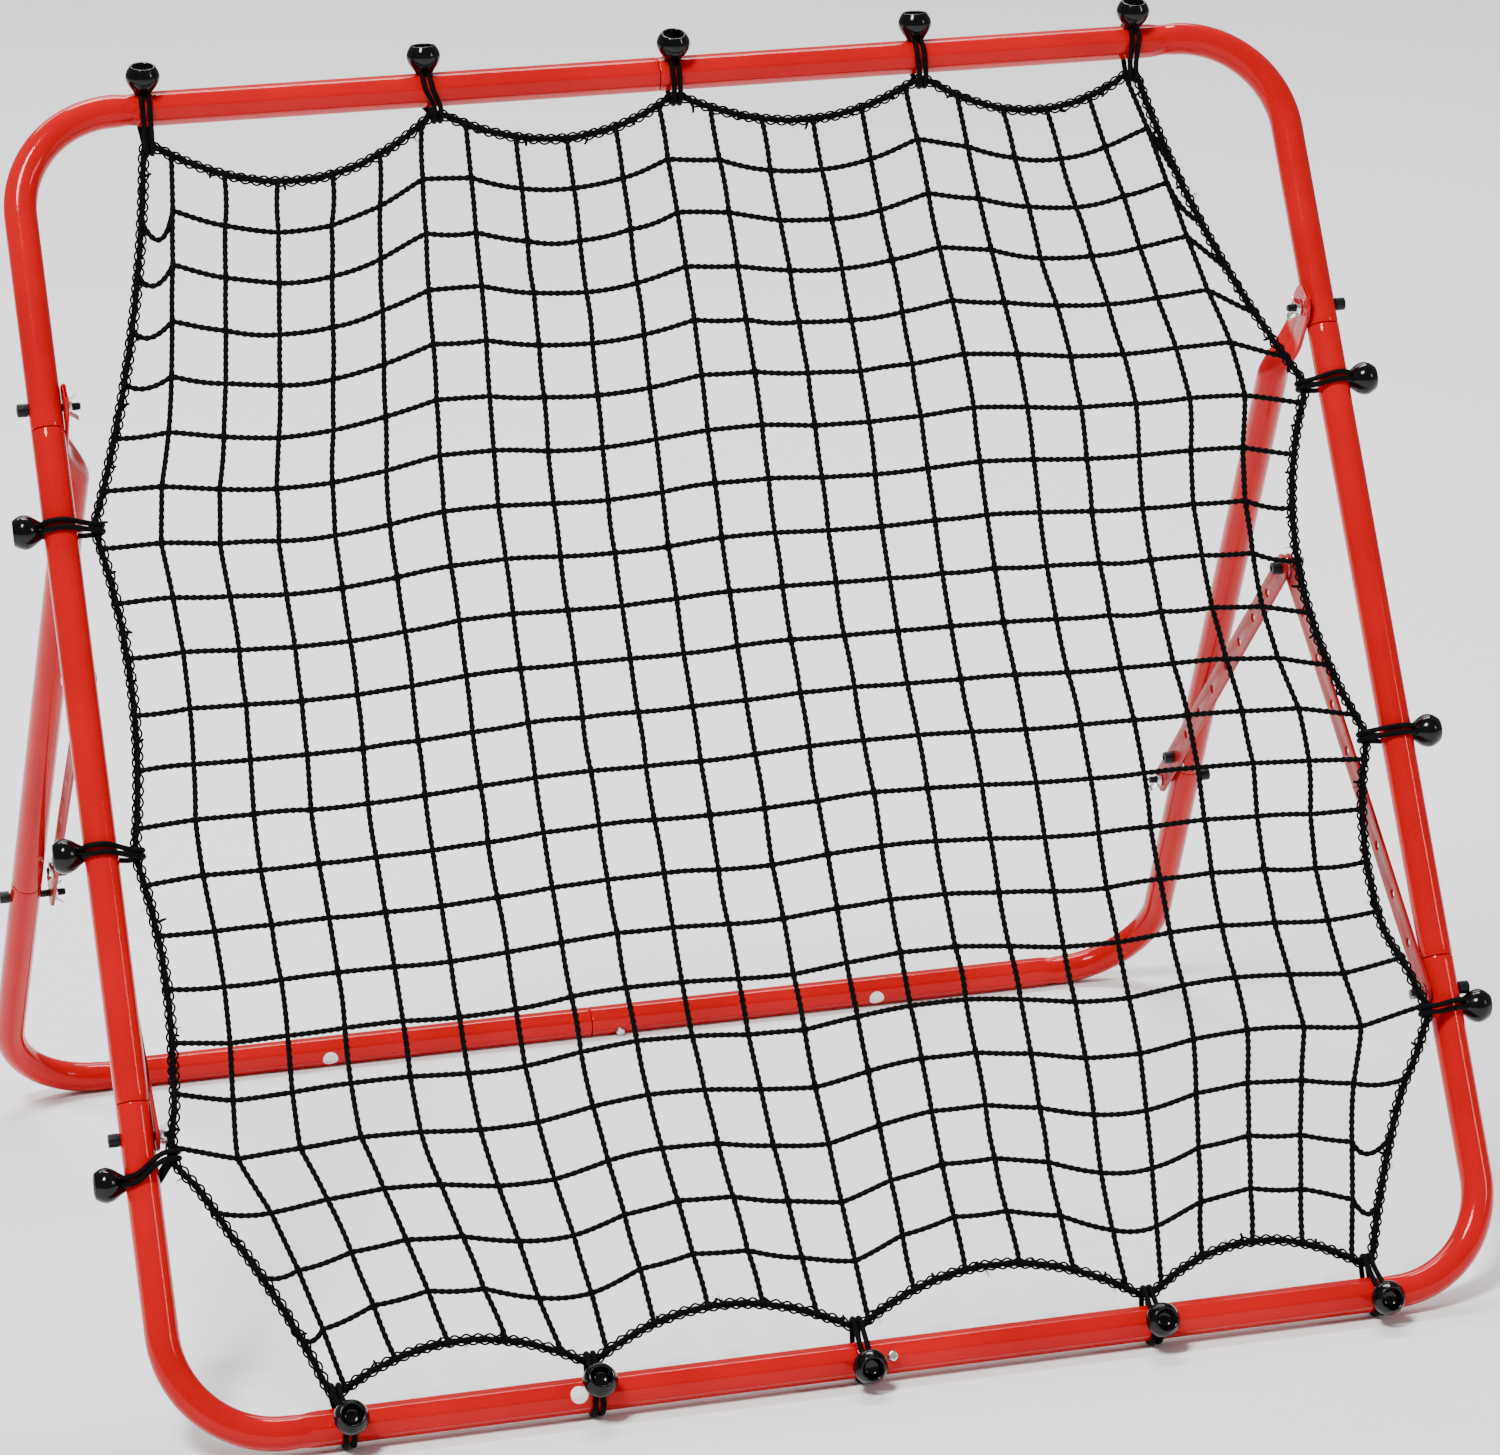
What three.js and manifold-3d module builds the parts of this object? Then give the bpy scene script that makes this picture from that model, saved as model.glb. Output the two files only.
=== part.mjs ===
// Pitch back rebounder: a square tube frame that holds a sports net on elastic cords with ball ends,
// leaning back on a hinged U-shaped stand that two pairs of perforated straps brace.
// Millimetres, +Z up, the net faces -Y and +X is to the right as seen from the front.

import * as THREE from 'three';
import { mergeVertices } from 'three/addons/utils/BufferGeometryUtils.js';
import Module from 'manifold-3d';

const wasm = await Module();
wasm.setup();

// ---------- Driving dimensions ----------

const CLEARANCE = 0.3;
const SIDES = 16;
const RIGHT = 1;
const LEFT = -1;

// Square front frame, measured between tube centre lines. Heights run up the frame from its bottom bar.
const FRAME_SIDE = 1000;
const FRAME_HALF = FRAME_SIDE / 2;
const FRAME_LEAN = THREE.MathUtils.degToRad(28.4);
const UPPER_SEAM = 755;
const LOWER_SEAM = 248;
const PIVOT_HEIGHT = 772;
const FRONT_STRAP_HEIGHT = 223;
const STUD_HEIGHT = 540;

// Tube: round in the bends and uprights, pressed to eight flats along the level bars.
const TUBE_RADIUS = 12.5;
const TUBE_WALL = 1.2;
const BAR_HALF_FLAT = 12.35;
const BEND_RADIUS = 80;
const BEND_STEPS = 4;
const FLATS_EASE = 22;
const SPIGOT_RADIUS = 10.6;
const SPIGOT_LENGTH = 40;
const NECK_LENGTH = 10;
const TOP_BAR_TURN = THREE.MathUtils.degToRad(10);

// Stand. Distances run down the leg from the pivot.
const LEG_LENGTH = 839;
const LEG_HALF_SPREAD = 514.5;
const FLAT_HALF_THICKNESS = 1.6;
const FLAT_HALF_WIDTH = 17;
const FLAT_TIP = 17;
const FLAT_LENGTH = 26;
const FLAT_EASE = 52;
const LEG_SEAM = 560;
const REAR_STRAP_DISTANCE = 577.7;

// Brace straps.
const STRAP_WIDTH = 22;
const STRAP_THICKNESS = 2.5;
const HOLE_COUNT = 10;
const HOLE_PITCH = 44;
const HOLE_RADIUS = 3.4;
const STRAP_REACH = HOLE_PITCH * (HOLE_COUNT - 1);
const SPACER_THICKNESS = 2.6;

// Bolts, wing nuts, snap buttons.
const BOLT_RADIUS = 3.1;
const HEAD_RADIUS = 5;
const HEAD_LENGTH = 8;
const NUT_RADIUS = 6.5;
const NUT_BASE = 1.5;
const NUT_HEIGHT = 8;
const LOW_NUT_HEIGHT = 4.2;
const WING_REACH = 11.5;
const WING_WIDTH = 7;
const WING_THICKNESS = 1.4;
const TIP_LENGTH = 10;
const BUTTON_RADIUS = 3.8;
const BUTTON_OFFSET = 25;

// Net. Each hook says where its elastic sits along its bar, how far inside the bar it holds the net,
// and how deep the net's edge bows inwards between this hook and the next, clockwise from the top left.
const NET_THICKNESS = 1.2;
const EDGE_RADIUS = 3.5;
const EDGE_STEPS = 4;
const NET_INSET = 9;
const HOLD_HALF = 9;
const HOOKS = [
  { bar: 'top', at: -398, hold: 30, bow: 40 },
  { bar: 'top', at: -183, hold: 20, bow: 27 },
  { bar: 'top', at: 10, hold: 19, bow: 26 },
  { bar: 'top', at: 207, hold: 19, bow: 28 },
  { bar: 'top', at: 385, hold: 26, bow: 8 },
  { bar: 'right', at: 708, hold: 24, bow: 30 },
  { bar: 'right', at: 425, hold: 25, bow: 19 },
  { bar: 'right', at: 205, hold: 28, bow: 5 },
  { bar: 'bottom', at: 403, hold: 24, bow: 28 },
  { bar: 'bottom', at: 229, hold: 21, bow: 34 },
  { bar: 'bottom', at: 6, hold: 25, bow: 28 },
  { bar: 'bottom', at: -193, hold: 24, bow: 26 },
  { bar: 'bottom', at: -381, hold: 24, bow: 8 },
  { bar: 'left', at: 203, hold: 28, bow: 12 },
  { bar: 'left', at: 437, hold: 25, bow: 12 },
  { bar: 'left', at: 680, hold: 26, bow: 9 },
];

// Elastic loops and their balls.
const CORD_THICKNESS = 3.4;
const LOOP_WIDTH = 8.5;
const LOOP_RADIUS = 13.6;
const LOOP_STEPS = 8;
const BALL_RADIUS = 12.5;
const BALL_LENGTH = 20.5;
const FRONT_BALL_LIFT = THREE.MathUtils.degToRad(-5);

// ---------- Places worked out from the dimensions ----------

const barLift = LOOP_RADIUS + CORD_THICKNESS;
const pivotY = PIVOT_HEIGHT * Math.sin(FRAME_LEAN);
const pivotZ = barLift + PIVOT_HEIGHT * Math.cos(FRAME_LEAN);
const legLean = Math.acos((pivotZ - BAR_HALF_FLAT) / LEG_LENGTH);
const uprightFace = FRAME_HALF - TUBE_RADIUS;
const legTopX = uprightFace - CLEARANCE - TUBE_RADIUS;
const flatX = uprightFace - CLEARANCE - FLAT_HALF_THICKNESS;
const frontStrapX = uprightFace - CLEARANCE - STRAP_THICKNESS;
const rearStrapX = frontStrapX - SPACER_THICKNESS - 2 * CLEARANCE - STRAP_THICKNESS;

/** Sideways place of the leg's axis at a distance down the leg. */
function legX(distance) {
  const run = (distance - FLAT_LENGTH) / (LEG_LENGTH - FLAT_LENGTH);
  return legTopX + (LEG_HALF_SPREAD - legTopX) * Math.max(run, 0);
}

/** Point (y, z) at a height up the front frame. */
function onFrame(height) {
  return new THREE.Vector2(height * Math.sin(FRAME_LEAN), barLift + height * Math.cos(FRAME_LEAN));
}

/** Point (y, z) at a distance down the stand's leg. */
function onLeg(distance) {
  return new THREE.Vector2(pivotY + distance * Math.sin(legLean), pivotZ - distance * Math.cos(legLean));
}

/** Elbow of the two straps: the point above the line between their lower ends. */
function elbowPoint() {
  const front = onFrame(FRONT_STRAP_HEIGHT);
  const rear = onLeg(REAR_STRAP_DISTANCE);
  const middle = front.clone().add(rear).multiplyScalar(0.5);
  const half = front.distanceTo(rear) / 2;
  const rise = Math.sqrt(STRAP_REACH ** 2 - half ** 2);
  const along = rear.clone().sub(front).normalize();
  return middle.add(new THREE.Vector2(-along.y, along.x).multiplyScalar(rise));
}

/** Turn about X that points a local +Z along the line between two (y, z) points. */
function turnTowards(from, to) {
  return Math.atan2(from.x - to.x, to.y - from.y);
}

// ---------- Solids ----------

/** The same surface with shared corner points, nothing but positions and no collapsed triangles. */
function welded(geometry) {
  const bare = geometry.clone();
  bare.deleteAttribute('normal');
  bare.deleteAttribute('uv');
  const merged = mergeVertices(bare, 1e-3);
  const index = [];
  for (let i = 0; i < merged.index.count; i += 3) {
    const corners = [0, 1, 2].map((k) => merged.index.getX(i + k));
    if (new Set(corners).size === 3) {
      index.push(...corners);
    }
  }
  merged.setIndex(index);
  return merged;
}

function toSolid(geometry) {
  const merged = welded(geometry);
  const vertProperties = new Float32Array(merged.attributes.position.array);
  const triVerts = new Uint32Array(merged.index.array);
  return new wasm.Manifold(new wasm.Mesh({ numProp: 3, vertProperties, triVerts }));
}

function toGeometry(solid) {
  const mesh = solid.getMesh();
  const geometry = new THREE.BufferGeometry();
  geometry.setAttribute('position', new THREE.BufferAttribute(new Float32Array(mesh.vertProperties), 3));
  geometry.setIndex(Array.from(mesh.triVerts));
  return geometry;
}

function join(first, ...others) {
  return toGeometry(others.reduce((sum, other) => sum.add(toSolid(other)), toSolid(first)));
}

function cut(geometry, ...tools) {
  return toGeometry(tools.reduce((rest, tool) => rest.subtract(toSolid(tool)), toSolid(geometry)));
}

/** Mirror image in the plane x = 0, with the faces still pointing out. */
function mirrored(geometry) {
  const copy = welded(geometry).scale(-1, 1, 1);
  const index = copy.index.array;
  for (let i = 0; i < index.length; i += 3) {
    [index[i], index[i + 1]] = [index[i + 1], index[i]];
  }
  return copy;
}

function forSide(side, geometry) {
  return side === LEFT ? mirrored(geometry) : geometry;
}

/** Closed skin through rings of points; the last ring joins the first. */
function loft(rings) {
  const count = rings[0].length;
  const positions = rings.flat().flatMap((point) => point.toArray());
  const index = [];
  rings.forEach((ring, r) => {
    const next = (r + 1) % rings.length;
    for (let k = 0; k < count; k += 1) {
      const k1 = (k + 1) % count;
      const a = r * count + k;
      const b = r * count + k1;
      const c = next * count + k;
      const d = next * count + k1;
      index.push(a, b, c, b, d, c);
    }
  });
  const geometry = new THREE.BufferGeometry();
  geometry.setAttribute('position', new THREE.Float32BufferAttribute(positions, 3));
  geometry.setIndex(index);
  return geometry;
}

/** Straight stretches between three points, with the corner rounded: a list of { point, tangent }. */
function bentPath(from, corner, to, radius) {
  const inward = corner.clone().sub(from).normalize();
  const outward = to.clone().sub(corner).normalize();
  const turn = inward.angleTo(outward);
  const reach = radius * Math.tan(turn / 2);
  const start = corner.clone().addScaledVector(inward, -reach);
  const side = outward.clone().addScaledVector(inward, -outward.dot(inward)).normalize();
  const centre = start.clone().addScaledVector(side, radius);
  const path = [{ point: from.clone(), tangent: inward }];
  for (let i = 0; i <= BEND_STEPS; i += 1) {
    const angle = (turn * i) / BEND_STEPS;
    const point = centre.clone()
      .addScaledVector(side, -radius * Math.cos(angle))
      .addScaledVector(inward, radius * Math.sin(angle));
    const tangent = inward.clone().multiplyScalar(Math.cos(angle)).addScaledVector(side, Math.sin(angle));
    path.push({ point, tangent });
  }
  path.push({ point: to.clone(), tangent: outward });
  return path;
}

// Cross-sections give a point for each angle: first across the frame's plane, then within it.

function roundSection(radius) {
  return (angle) => [radius * Math.cos(angle), radius * Math.sin(angle)];
}

function eightFlats(halfFlat, turn) {
  const pitch = Math.PI / 4;
  return (angle) => {
    const offFlat = ((((angle + pitch / 2) % pitch) + pitch) % pitch) - pitch / 2;
    const radius = halfFlat / Math.cos(offFlat);
    return [radius * Math.cos(angle + turn), radius * Math.sin(angle + turn)];
  };
}

function pressedFlat(halfWidth, halfThickness) {
  const steepness = 2.4;
  return (angle) => [
    halfWidth * Math.cos(angle),
    halfThickness * THREE.MathUtils.clamp(steepness * Math.sin(angle), -1, 1),
  ];
}

function blendSections(first, second, share) {
  return (angle) => {
    const [a0, b0] = first(angle);
    const [a1, b1] = second(angle);
    return [a0 + (a1 - a0) * share, b0 + (b1 - b0) * share];
  };
}

/** Ring of points around a station of a tube that lies in a plane across Y. */
function ringAt(point, tangent, section) {
  const across = new THREE.Vector3(0, 1, 0);
  const within = tangent.clone().cross(across);
  const ring = [];
  for (let k = 0; k < SIDES; k += 1) {
    const [a, b] = section((2 * Math.PI * k) / SIDES);
    ring.push(point.clone().addScaledVector(across, a).addScaledVector(within, b));
  }
  return ring;
}

/** Open-ended tube through stations of { point, tangent, outer, inner }. */
function hollowTube(stations) {
  const outside = stations.map((s) => ringAt(s.point, s.tangent, s.outer));
  const inside = stations.map((s) => ringAt(s.point, s.tangent, s.inner)).reverse();
  return loft([...outside, ...inside]);
}

const roundTube = { outer: roundSection(TUBE_RADIUS), inner: roundSection(TUBE_RADIUS - TUBE_WALL) };
const spigotTube = { outer: roundSection(SPIGOT_RADIUS), inner: roundSection(SPIGOT_RADIUS - TUBE_WALL) };

function flatsTube(turn) {
  return { outer: eightFlats(BAR_HALF_FLAT, turn), inner: eightFlats(BAR_HALF_FLAT - TUBE_WALL, turn) };
}

/** Half of a level bar, starting at its middle, with the bend and the short upright at its end. */
function barAndBend(corner, end, turn, hasSpigot) {
  const middle = new THREE.Vector3(hasSpigot ? 0 : CLEARANCE, 0, corner.z);
  const path = bentPath(middle, corner, end, BEND_RADIUS);
  const flats = flatsTube(turn);
  const [start, firstOfBend] = path;
  const ease = { point: firstOfBend.point.clone(), tangent: firstOfBend.tangent };
  ease.point.x -= FLATS_EASE;
  const level = (x) => ({ point: new THREE.Vector3(x, 0, corner.z), tangent: start.tangent });
  const stations = hasSpigot
    ? [
      { ...level(-SPIGOT_LENGTH), ...spigotTube },
      { ...level(0), ...spigotTube },
      { ...level(0), outer: flats.outer, inner: spigotTube.inner },
      { ...level(NECK_LENGTH), ...flats },
    ]
    : [{ ...start, ...flats }];
  stations.push({ ...ease, ...flats }, ...path.slice(1).map((step) => ({ ...step, ...roundTube })));
  return hollowTube(stations);
}

function boltHole(x, z) {
  const drill = new THREE.CylinderGeometry(HOLE_RADIUS, HOLE_RADIUS, 4 * TUBE_RADIUS, 12);
  return drill.rotateZ(Math.PI / 2).translate(x, 0, z);
}

/** Drill for a snap button: from the bar's axis outwards, along a direction across the bar. */
function buttonHole(x, z, tilt) {
  const drill = new THREE.CylinderGeometry(BUTTON_RADIUS + CLEARANCE, BUTTON_RADIUS + CLEARANCE, 20, 12);
  return drill.rotateX(Math.PI / 2).translate(0, 0, 10).rotateX(tilt).translate(x, 0, z);
}

// ---------- Front frame tubes ----------

// Directions across each bar that its snap button points, as turns about X from local +Z.
const topButtonTilt = THREE.MathUtils.degToRad(-90);
const bottomButtonTilt = FRAME_LEAN + THREE.MathUtils.degToRad(67.5);
const baseButtonTilt = THREE.MathUtils.degToRad(90 + 35) - legLean;

function topCorner(side) {
  const corner = new THREE.Vector3(FRAME_HALF, 0, FRAME_SIDE);
  const end = new THREE.Vector3(FRAME_HALF, 0, UPPER_SEAM);
  const tube = barAndBend(corner, end, FRAME_LEAN + TOP_BAR_TURN, side === LEFT);
  const x = side * BUTTON_OFFSET;
  const holes = [boltHole(FRAME_HALF, PIVOT_HEIGHT), buttonHole(x, FRAME_SIDE, topButtonTilt)];
  return forSide(side, cut(tube, ...holes));
}

function bottomCorner(side) {
  const corner = new THREE.Vector3(FRAME_HALF, 0, 0);
  const end = new THREE.Vector3(FRAME_HALF, 0, LOWER_SEAM);
  const tube = barAndBend(corner, end, FRAME_LEAN, side === LEFT);
  const x = side * BUTTON_OFFSET;
  const holes = [boltHole(FRAME_HALF, FRONT_STRAP_HEIGHT), buttonHole(x, 0, bottomButtonTilt)];
  return forSide(side, cut(tube, ...holes));
}

/** Upright with a drawn-down spigot at each end and a small stud on its outer face. */
function upright(side) {
  const lower = LOWER_SEAM + CLEARANCE;
  const upper = UPPER_SEAM - CLEARANCE;
  const neck = { outer: roundTube.outer, inner: spigotTube.inner };
  const levels = [
    [LOWER_SEAM - SPIGOT_LENGTH, spigotTube],
    [lower, spigotTube],
    [lower, neck],
    [lower + NECK_LENGTH, roundTube],
    [upper - NECK_LENGTH, roundTube],
    [upper, neck],
    [upper, spigotTube],
    [UPPER_SEAM + SPIGOT_LENGTH, spigotTube],
  ];
  const tangent = new THREE.Vector3(0, 0, 1);
  const tube = hollowTube(levels.map(([z, tubeSections]) => (
    { point: new THREE.Vector3(FRAME_HALF, 0, z), tangent, ...tubeSections }
  )));
  const studRadius = 5.5;
  const studHeight = 2.3;
  const studDepth = studHeight + 1;
  const studX = FRAME_HALF + TUBE_RADIUS + studHeight - studDepth / 2;
  const stud = new THREE.CylinderGeometry(studRadius * 0.85, studRadius, studDepth, 12)
    .rotateZ(-Math.PI / 2).translate(studX, 0, STUD_HEIGHT);
  const bored = cut(tube, boltHole(FRAME_HALF, PIVOT_HEIGHT), boltHole(FRAME_HALF, FRONT_STRAP_HEIGHT));
  return forSide(side, join(bored, stud));
}

// ---------- Stand tubes, drawn with the pivot at the origin and the leg running down ----------

function legStation(distance, x, sections) {
  const splay = distance > FLAT_LENGTH + FLAT_EASE / 2 ? legX(LEG_LENGTH) - legX(FLAT_LENGTH) : 0;
  const tangent = new THREE.Vector3(splay, 0, FLAT_LENGTH - LEG_LENGTH).normalize();
  return { point: new THREE.Vector3(x, 0, -distance), tangent, ...sections };
}

/** Flattened end of a leg: a rounded tip and a flat, one face in line with the tube's outer side. */
function flatSections(halfWidth, share) {
  const outer = pressedFlat(halfWidth, FLAT_HALF_THICKNESS);
  const inner = pressedFlat(halfWidth - TUBE_WALL, FLAT_HALF_THICKNESS - TUBE_WALL);
  return {
    outer: blendSections(outer, roundTube.outer, share),
    inner: blendSections(inner, roundTube.inner, share),
  };
}

function standLeg(side) {
  const tipWidth = 0.62 * FLAT_HALF_WIDTH;
  const shoulderWidth = 0.9 * FLAT_HALF_WIDTH;
  const easeEnd = FLAT_LENGTH + FLAT_EASE;
  const stations = [
    legStation(-FLAT_TIP, flatX, flatSections(tipWidth, 0)),
    legStation(-0.6 * FLAT_TIP, flatX, flatSections(shoulderWidth, 0)),
    legStation(-0.1 * FLAT_TIP, flatX, flatSections(FLAT_HALF_WIDTH, 0)),
    legStation(FLAT_LENGTH, flatX, flatSections(FLAT_HALF_WIDTH, 0)),
  ];
  [0.25, 0.5, 0.75].forEach((step) => {
    const share = THREE.MathUtils.smoothstep(step, 0, 1);
    const distance = FLAT_LENGTH + FLAT_EASE * step;
    const x = THREE.MathUtils.lerp(flatX, legX(distance), share);
    stations.push(legStation(distance, x, flatSections(FLAT_HALF_WIDTH, share)));
  });
  const seam = LEG_SEAM - CLEARANCE;
  const neck = { outer: roundTube.outer, inner: spigotTube.inner };
  stations.push(
    legStation(easeEnd, legX(easeEnd), roundTube),
    legStation(seam - NECK_LENGTH, legX(seam - NECK_LENGTH), roundTube),
    legStation(seam, legX(seam), neck),
    legStation(seam, legX(seam), spigotTube),
    legStation(seam + SPIGOT_LENGTH, legX(seam + SPIGOT_LENGTH), spigotTube),
  );
  const rearHole = boltHole(legX(REAR_STRAP_DISTANCE), -REAR_STRAP_DISTANCE);
  return forSide(side, cut(hollowTube(stations), boltHole(flatX, 0), rearHole));
}

function standFoot(side) {
  const corner = new THREE.Vector3(LEG_HALF_SPREAD, 0, -LEG_LENGTH);
  const end = new THREE.Vector3(legX(LEG_SEAM), 0, -LEG_SEAM);
  const tube = barAndBend(corner, end, -legLean, side === LEFT);
  const rearHole = boltHole(legX(REAR_STRAP_DISTANCE), -REAR_STRAP_DISTANCE);
  const button = buttonHole(side * BUTTON_OFFSET, -LEG_LENGTH, baseButtonTilt);
  return forSide(side, cut(tube, rearHole, button));
}

// ---------- Straps and fasteners, drawn along +X from the face that they seat on ----------

/** Perforated strap from its first hole at the origin along +Z, its inner face at x = 0. */
function strap() {
  const radius = STRAP_WIDTH / 2;
  const outline = new THREE.Shape();
  outline.absarc(0, 0, radius, Math.PI, 2 * Math.PI);
  outline.absarc(0, STRAP_REACH, radius, 0, Math.PI);
  for (let i = 0; i < HOLE_COUNT; i += 1) {
    const hole = new THREE.Path();
    hole.absarc(0, i * HOLE_PITCH, HOLE_RADIUS, 0, 2 * Math.PI, true);
    outline.holes.push(hole);
  }
  const options = { depth: STRAP_THICKNESS, bevelEnabled: false, curveSegments: 4 };
  return new THREE.ExtrudeGeometry(outline, options).rotateX(Math.PI / 2).rotateZ(Math.PI / 2);
}

/** Round-headed bolt: the head stands out along +X from x = 0 and the shank runs to -X. */
function bolt(shankLength) {
  const chamfer = 0.8;
  const profile = [
    [0, -shankLength],
    [BOLT_RADIUS, -shankLength],
    [BOLT_RADIUS, 0],
    [HEAD_RADIUS, 0],
    [HEAD_RADIUS, HEAD_LENGTH - chamfer],
    [HEAD_RADIUS - chamfer, HEAD_LENGTH],
    [0, HEAD_LENGTH],
  ];
  const points = profile.map(([radius, along]) => new THREE.Vector2(radius, along));
  return new THREE.LatheGeometry(points, 10).rotateZ(-Math.PI / 2);
}

/** Pressed wing nut: a ring on x = 0 with two wings that flare towards +X. */
function wingNut(height, boreRadius) {
  const outline = new THREE.Shape().absarc(0, 0, NUT_RADIUS, 0, 2 * Math.PI);
  const bore = new THREE.Path().absarc(0, 0, boreRadius, 0, 2 * Math.PI, true);
  outline.holes.push(bore);
  const ring = new THREE.ExtrudeGeometry(outline, { depth: NUT_BASE, bevelEnabled: false, curveSegments: 5 })
    .rotateY(Math.PI / 2);
  const inner = NUT_RADIUS - WING_THICKNESS;
  const flare = new THREE.Shape([
    new THREE.Vector2(inner, NUT_BASE / 2),
    new THREE.Vector2(NUT_RADIUS, NUT_BASE / 2),
    new THREE.Vector2(WING_REACH, height),
    new THREE.Vector2(WING_REACH - WING_THICKNESS, height),
  ]);
  const wing = new THREE.ExtrudeGeometry(flare, { depth: WING_WIDTH, bevelEnabled: false })
    .translate(0, 0, -WING_WIDTH / 2)
    .applyMatrix4(new THREE.Matrix4().makeBasis(
      new THREE.Vector3(0, 0, 1),
      new THREE.Vector3(1, 0, 0),
      new THREE.Vector3(0, 1, 0),
    ));
  const otherWing = wing.clone().rotateX(Math.PI);
  return join(ring, wing, otherWing);
}

/** Wing nut over the end of a bolt that is only a stub: the bore is filled and the stub stands proud. */
function cappedWingNut() {
  const stub = new THREE.CylinderGeometry(BOLT_RADIUS, BOLT_RADIUS, TIP_LENGTH, 12)
    .rotateZ(-Math.PI / 2).translate(TIP_LENGTH / 2, 0, 0);
  return join(wingNut(NUT_HEIGHT, BOLT_RADIUS - 1), stub);
}

/** Flat ring between the two straps of an elbow. */
function spacer() {
  const outline = new THREE.Shape().absarc(0, 0, 8, 0, 2 * Math.PI);
  outline.holes.push(new THREE.Path().absarc(0, 0, HOLE_RADIUS, 0, 2 * Math.PI, true));
  const options = { depth: SPACER_THICKNESS, bevelEnabled: false, curveSegments: 5 };
  return new THREE.ExtrudeGeometry(outline, options).rotateY(Math.PI / 2);
}

/** Domed button standing along +Z, with its foot just over the spring leaf. */
function snapButton() {
  const foot = 7.5;
  const top = 16.4;
  const points = [
    [0, foot],
    [BUTTON_RADIUS, foot],
    [BUTTON_RADIUS, top - 1.6],
    [0.7 * BUTTON_RADIUS, top - 0.4],
    [0, top],
  ].map(([radius, along]) => new THREE.Vector2(radius, along));
  return new THREE.LatheGeometry(points, 10).rotateX(Math.PI / 2);
}

/** V-shaped leaf spring inside a spigot, its upper leaf under the button at x = BUTTON_OFFSET. */
function leafSpring() {
  const leaf = 0.8;
  const reach = BUTTON_OFFSET + 6;
  const outline = new THREE.Shape([
    new THREE.Vector2(reach, 7.2),
    new THREE.Vector2(BUTTON_OFFSET - 6, 7.2),
    new THREE.Vector2(-12, leaf),
    new THREE.Vector2(-12, -leaf),
    new THREE.Vector2(reach, -8.4),
    new THREE.Vector2(reach, -8.4 + leaf),
    new THREE.Vector2(-12 + 3, 0),
    new THREE.Vector2(BUTTON_OFFSET - 5.6, 7.2 - leaf),
    new THREE.Vector2(reach, 7.2 - leaf),
  ]);
  const width = 6;
  return new THREE.ExtrudeGeometry(outline, { depth: width, bevelEnabled: false })
    .translate(0, 0, -width / 2).rotateX(Math.PI / 2);
}

// ---------- Net, its edge rope and the ball bungees, drawn in the frame's plane ----------

const BARS = {
  top: { origin: [0, FRAME_SIDE], along: [1, 0], inward: [0, -1] },
  right: { origin: [FRAME_HALF, 0], along: [0, 1], inward: [-1, 0] },
  bottom: { origin: [0, 0], along: [1, 0], inward: [0, 1] },
  left: { origin: [-FRAME_HALF, 0], along: [0, 1], inward: [1, 0] },
};

function hookFrame(hook) {
  const bar = BARS[hook.bar];
  const along = new THREE.Vector2(...bar.along);
  const inward = new THREE.Vector2(...bar.inward);
  const centre = new THREE.Vector2(...bar.origin).addScaledVector(along, hook.at);
  return { centre, along, inward, held: centre.clone().addScaledVector(inward, hook.hold) };
}

/** Points along the net's edge: straight through each elastic, bowed inwards between them. */
function edgePoints() {
  const clockwise = { top: 1, right: -1, bottom: -1, left: 1 };
  const points = [];
  HOOKS.forEach((hook, i) => {
    const next = HOOKS[(i + 1) % HOOKS.length];
    const here = hookFrame(hook);
    const there = hookFrame(next);
    const start = here.held.clone().addScaledVector(here.along, clockwise[hook.bar] * HOLD_HALF);
    const end = there.held.clone().addScaledVector(there.along, -clockwise[next.bar] * HOLD_HALF);
    const run = end.clone().sub(start);
    const inward = new THREE.Vector2(run.y, -run.x).normalize();
    const control = start.clone().addScaledVector(run, 0.5).addScaledVector(inward, 2 * hook.bow);
    const curve = new THREE.QuadraticBezierCurve(start, control, end);
    points.push(...curve.getPoints(EDGE_STEPS));
  });
  return points;
}

/** Steps inwards from each point of a closed clockwise outline that keep one distance from its sides. */
function inwardSteps(points) {
  const sideNormals = points.map((point, i) => {
    const run = points[(i + 1) % points.length].clone().sub(point).normalize();
    return new THREE.Vector2(run.y, -run.x);
  });
  return sideNormals.map((normal, i) => {
    const before = sideNormals[(i + points.length - 1) % points.length];
    return normal.clone().add(before).divideScalar(1 + normal.dot(before));
  });
}

function edgeRope() {
  const points = edgePoints();
  const steps = inwardSteps(points);
  const sides = 5;
  const rings = points.map((point, i) => {
    const centre = new THREE.Vector3(point.x, 0, point.y);
    const inward = new THREE.Vector3(steps[i].x, 0, steps[i].y);
    const ring = [];
    for (let k = 0; k < sides; k += 1) {
      const angle = (2 * Math.PI * k) / sides;
      const offset = inward.clone().multiplyScalar(EDGE_RADIUS * Math.cos(angle));
      offset.y = EDGE_RADIUS * Math.sin(angle);
      ring.push(centre.clone().add(offset));
    }
    return ring;
  });
  return loft(rings);
}

function netPanel() {
  const points = edgePoints();
  const steps = inwardSteps(points);
  const outline = points.map((point, i) => point.clone().addScaledVector(steps[i], NET_INSET));
  return new THREE.ExtrudeGeometry(new THREE.Shape(outline), { depth: NET_THICKNESS, bevelEnabled: false })
    .rotateX(Math.PI / 2).translate(0, NET_THICKNESS / 2, 0);
}

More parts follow.
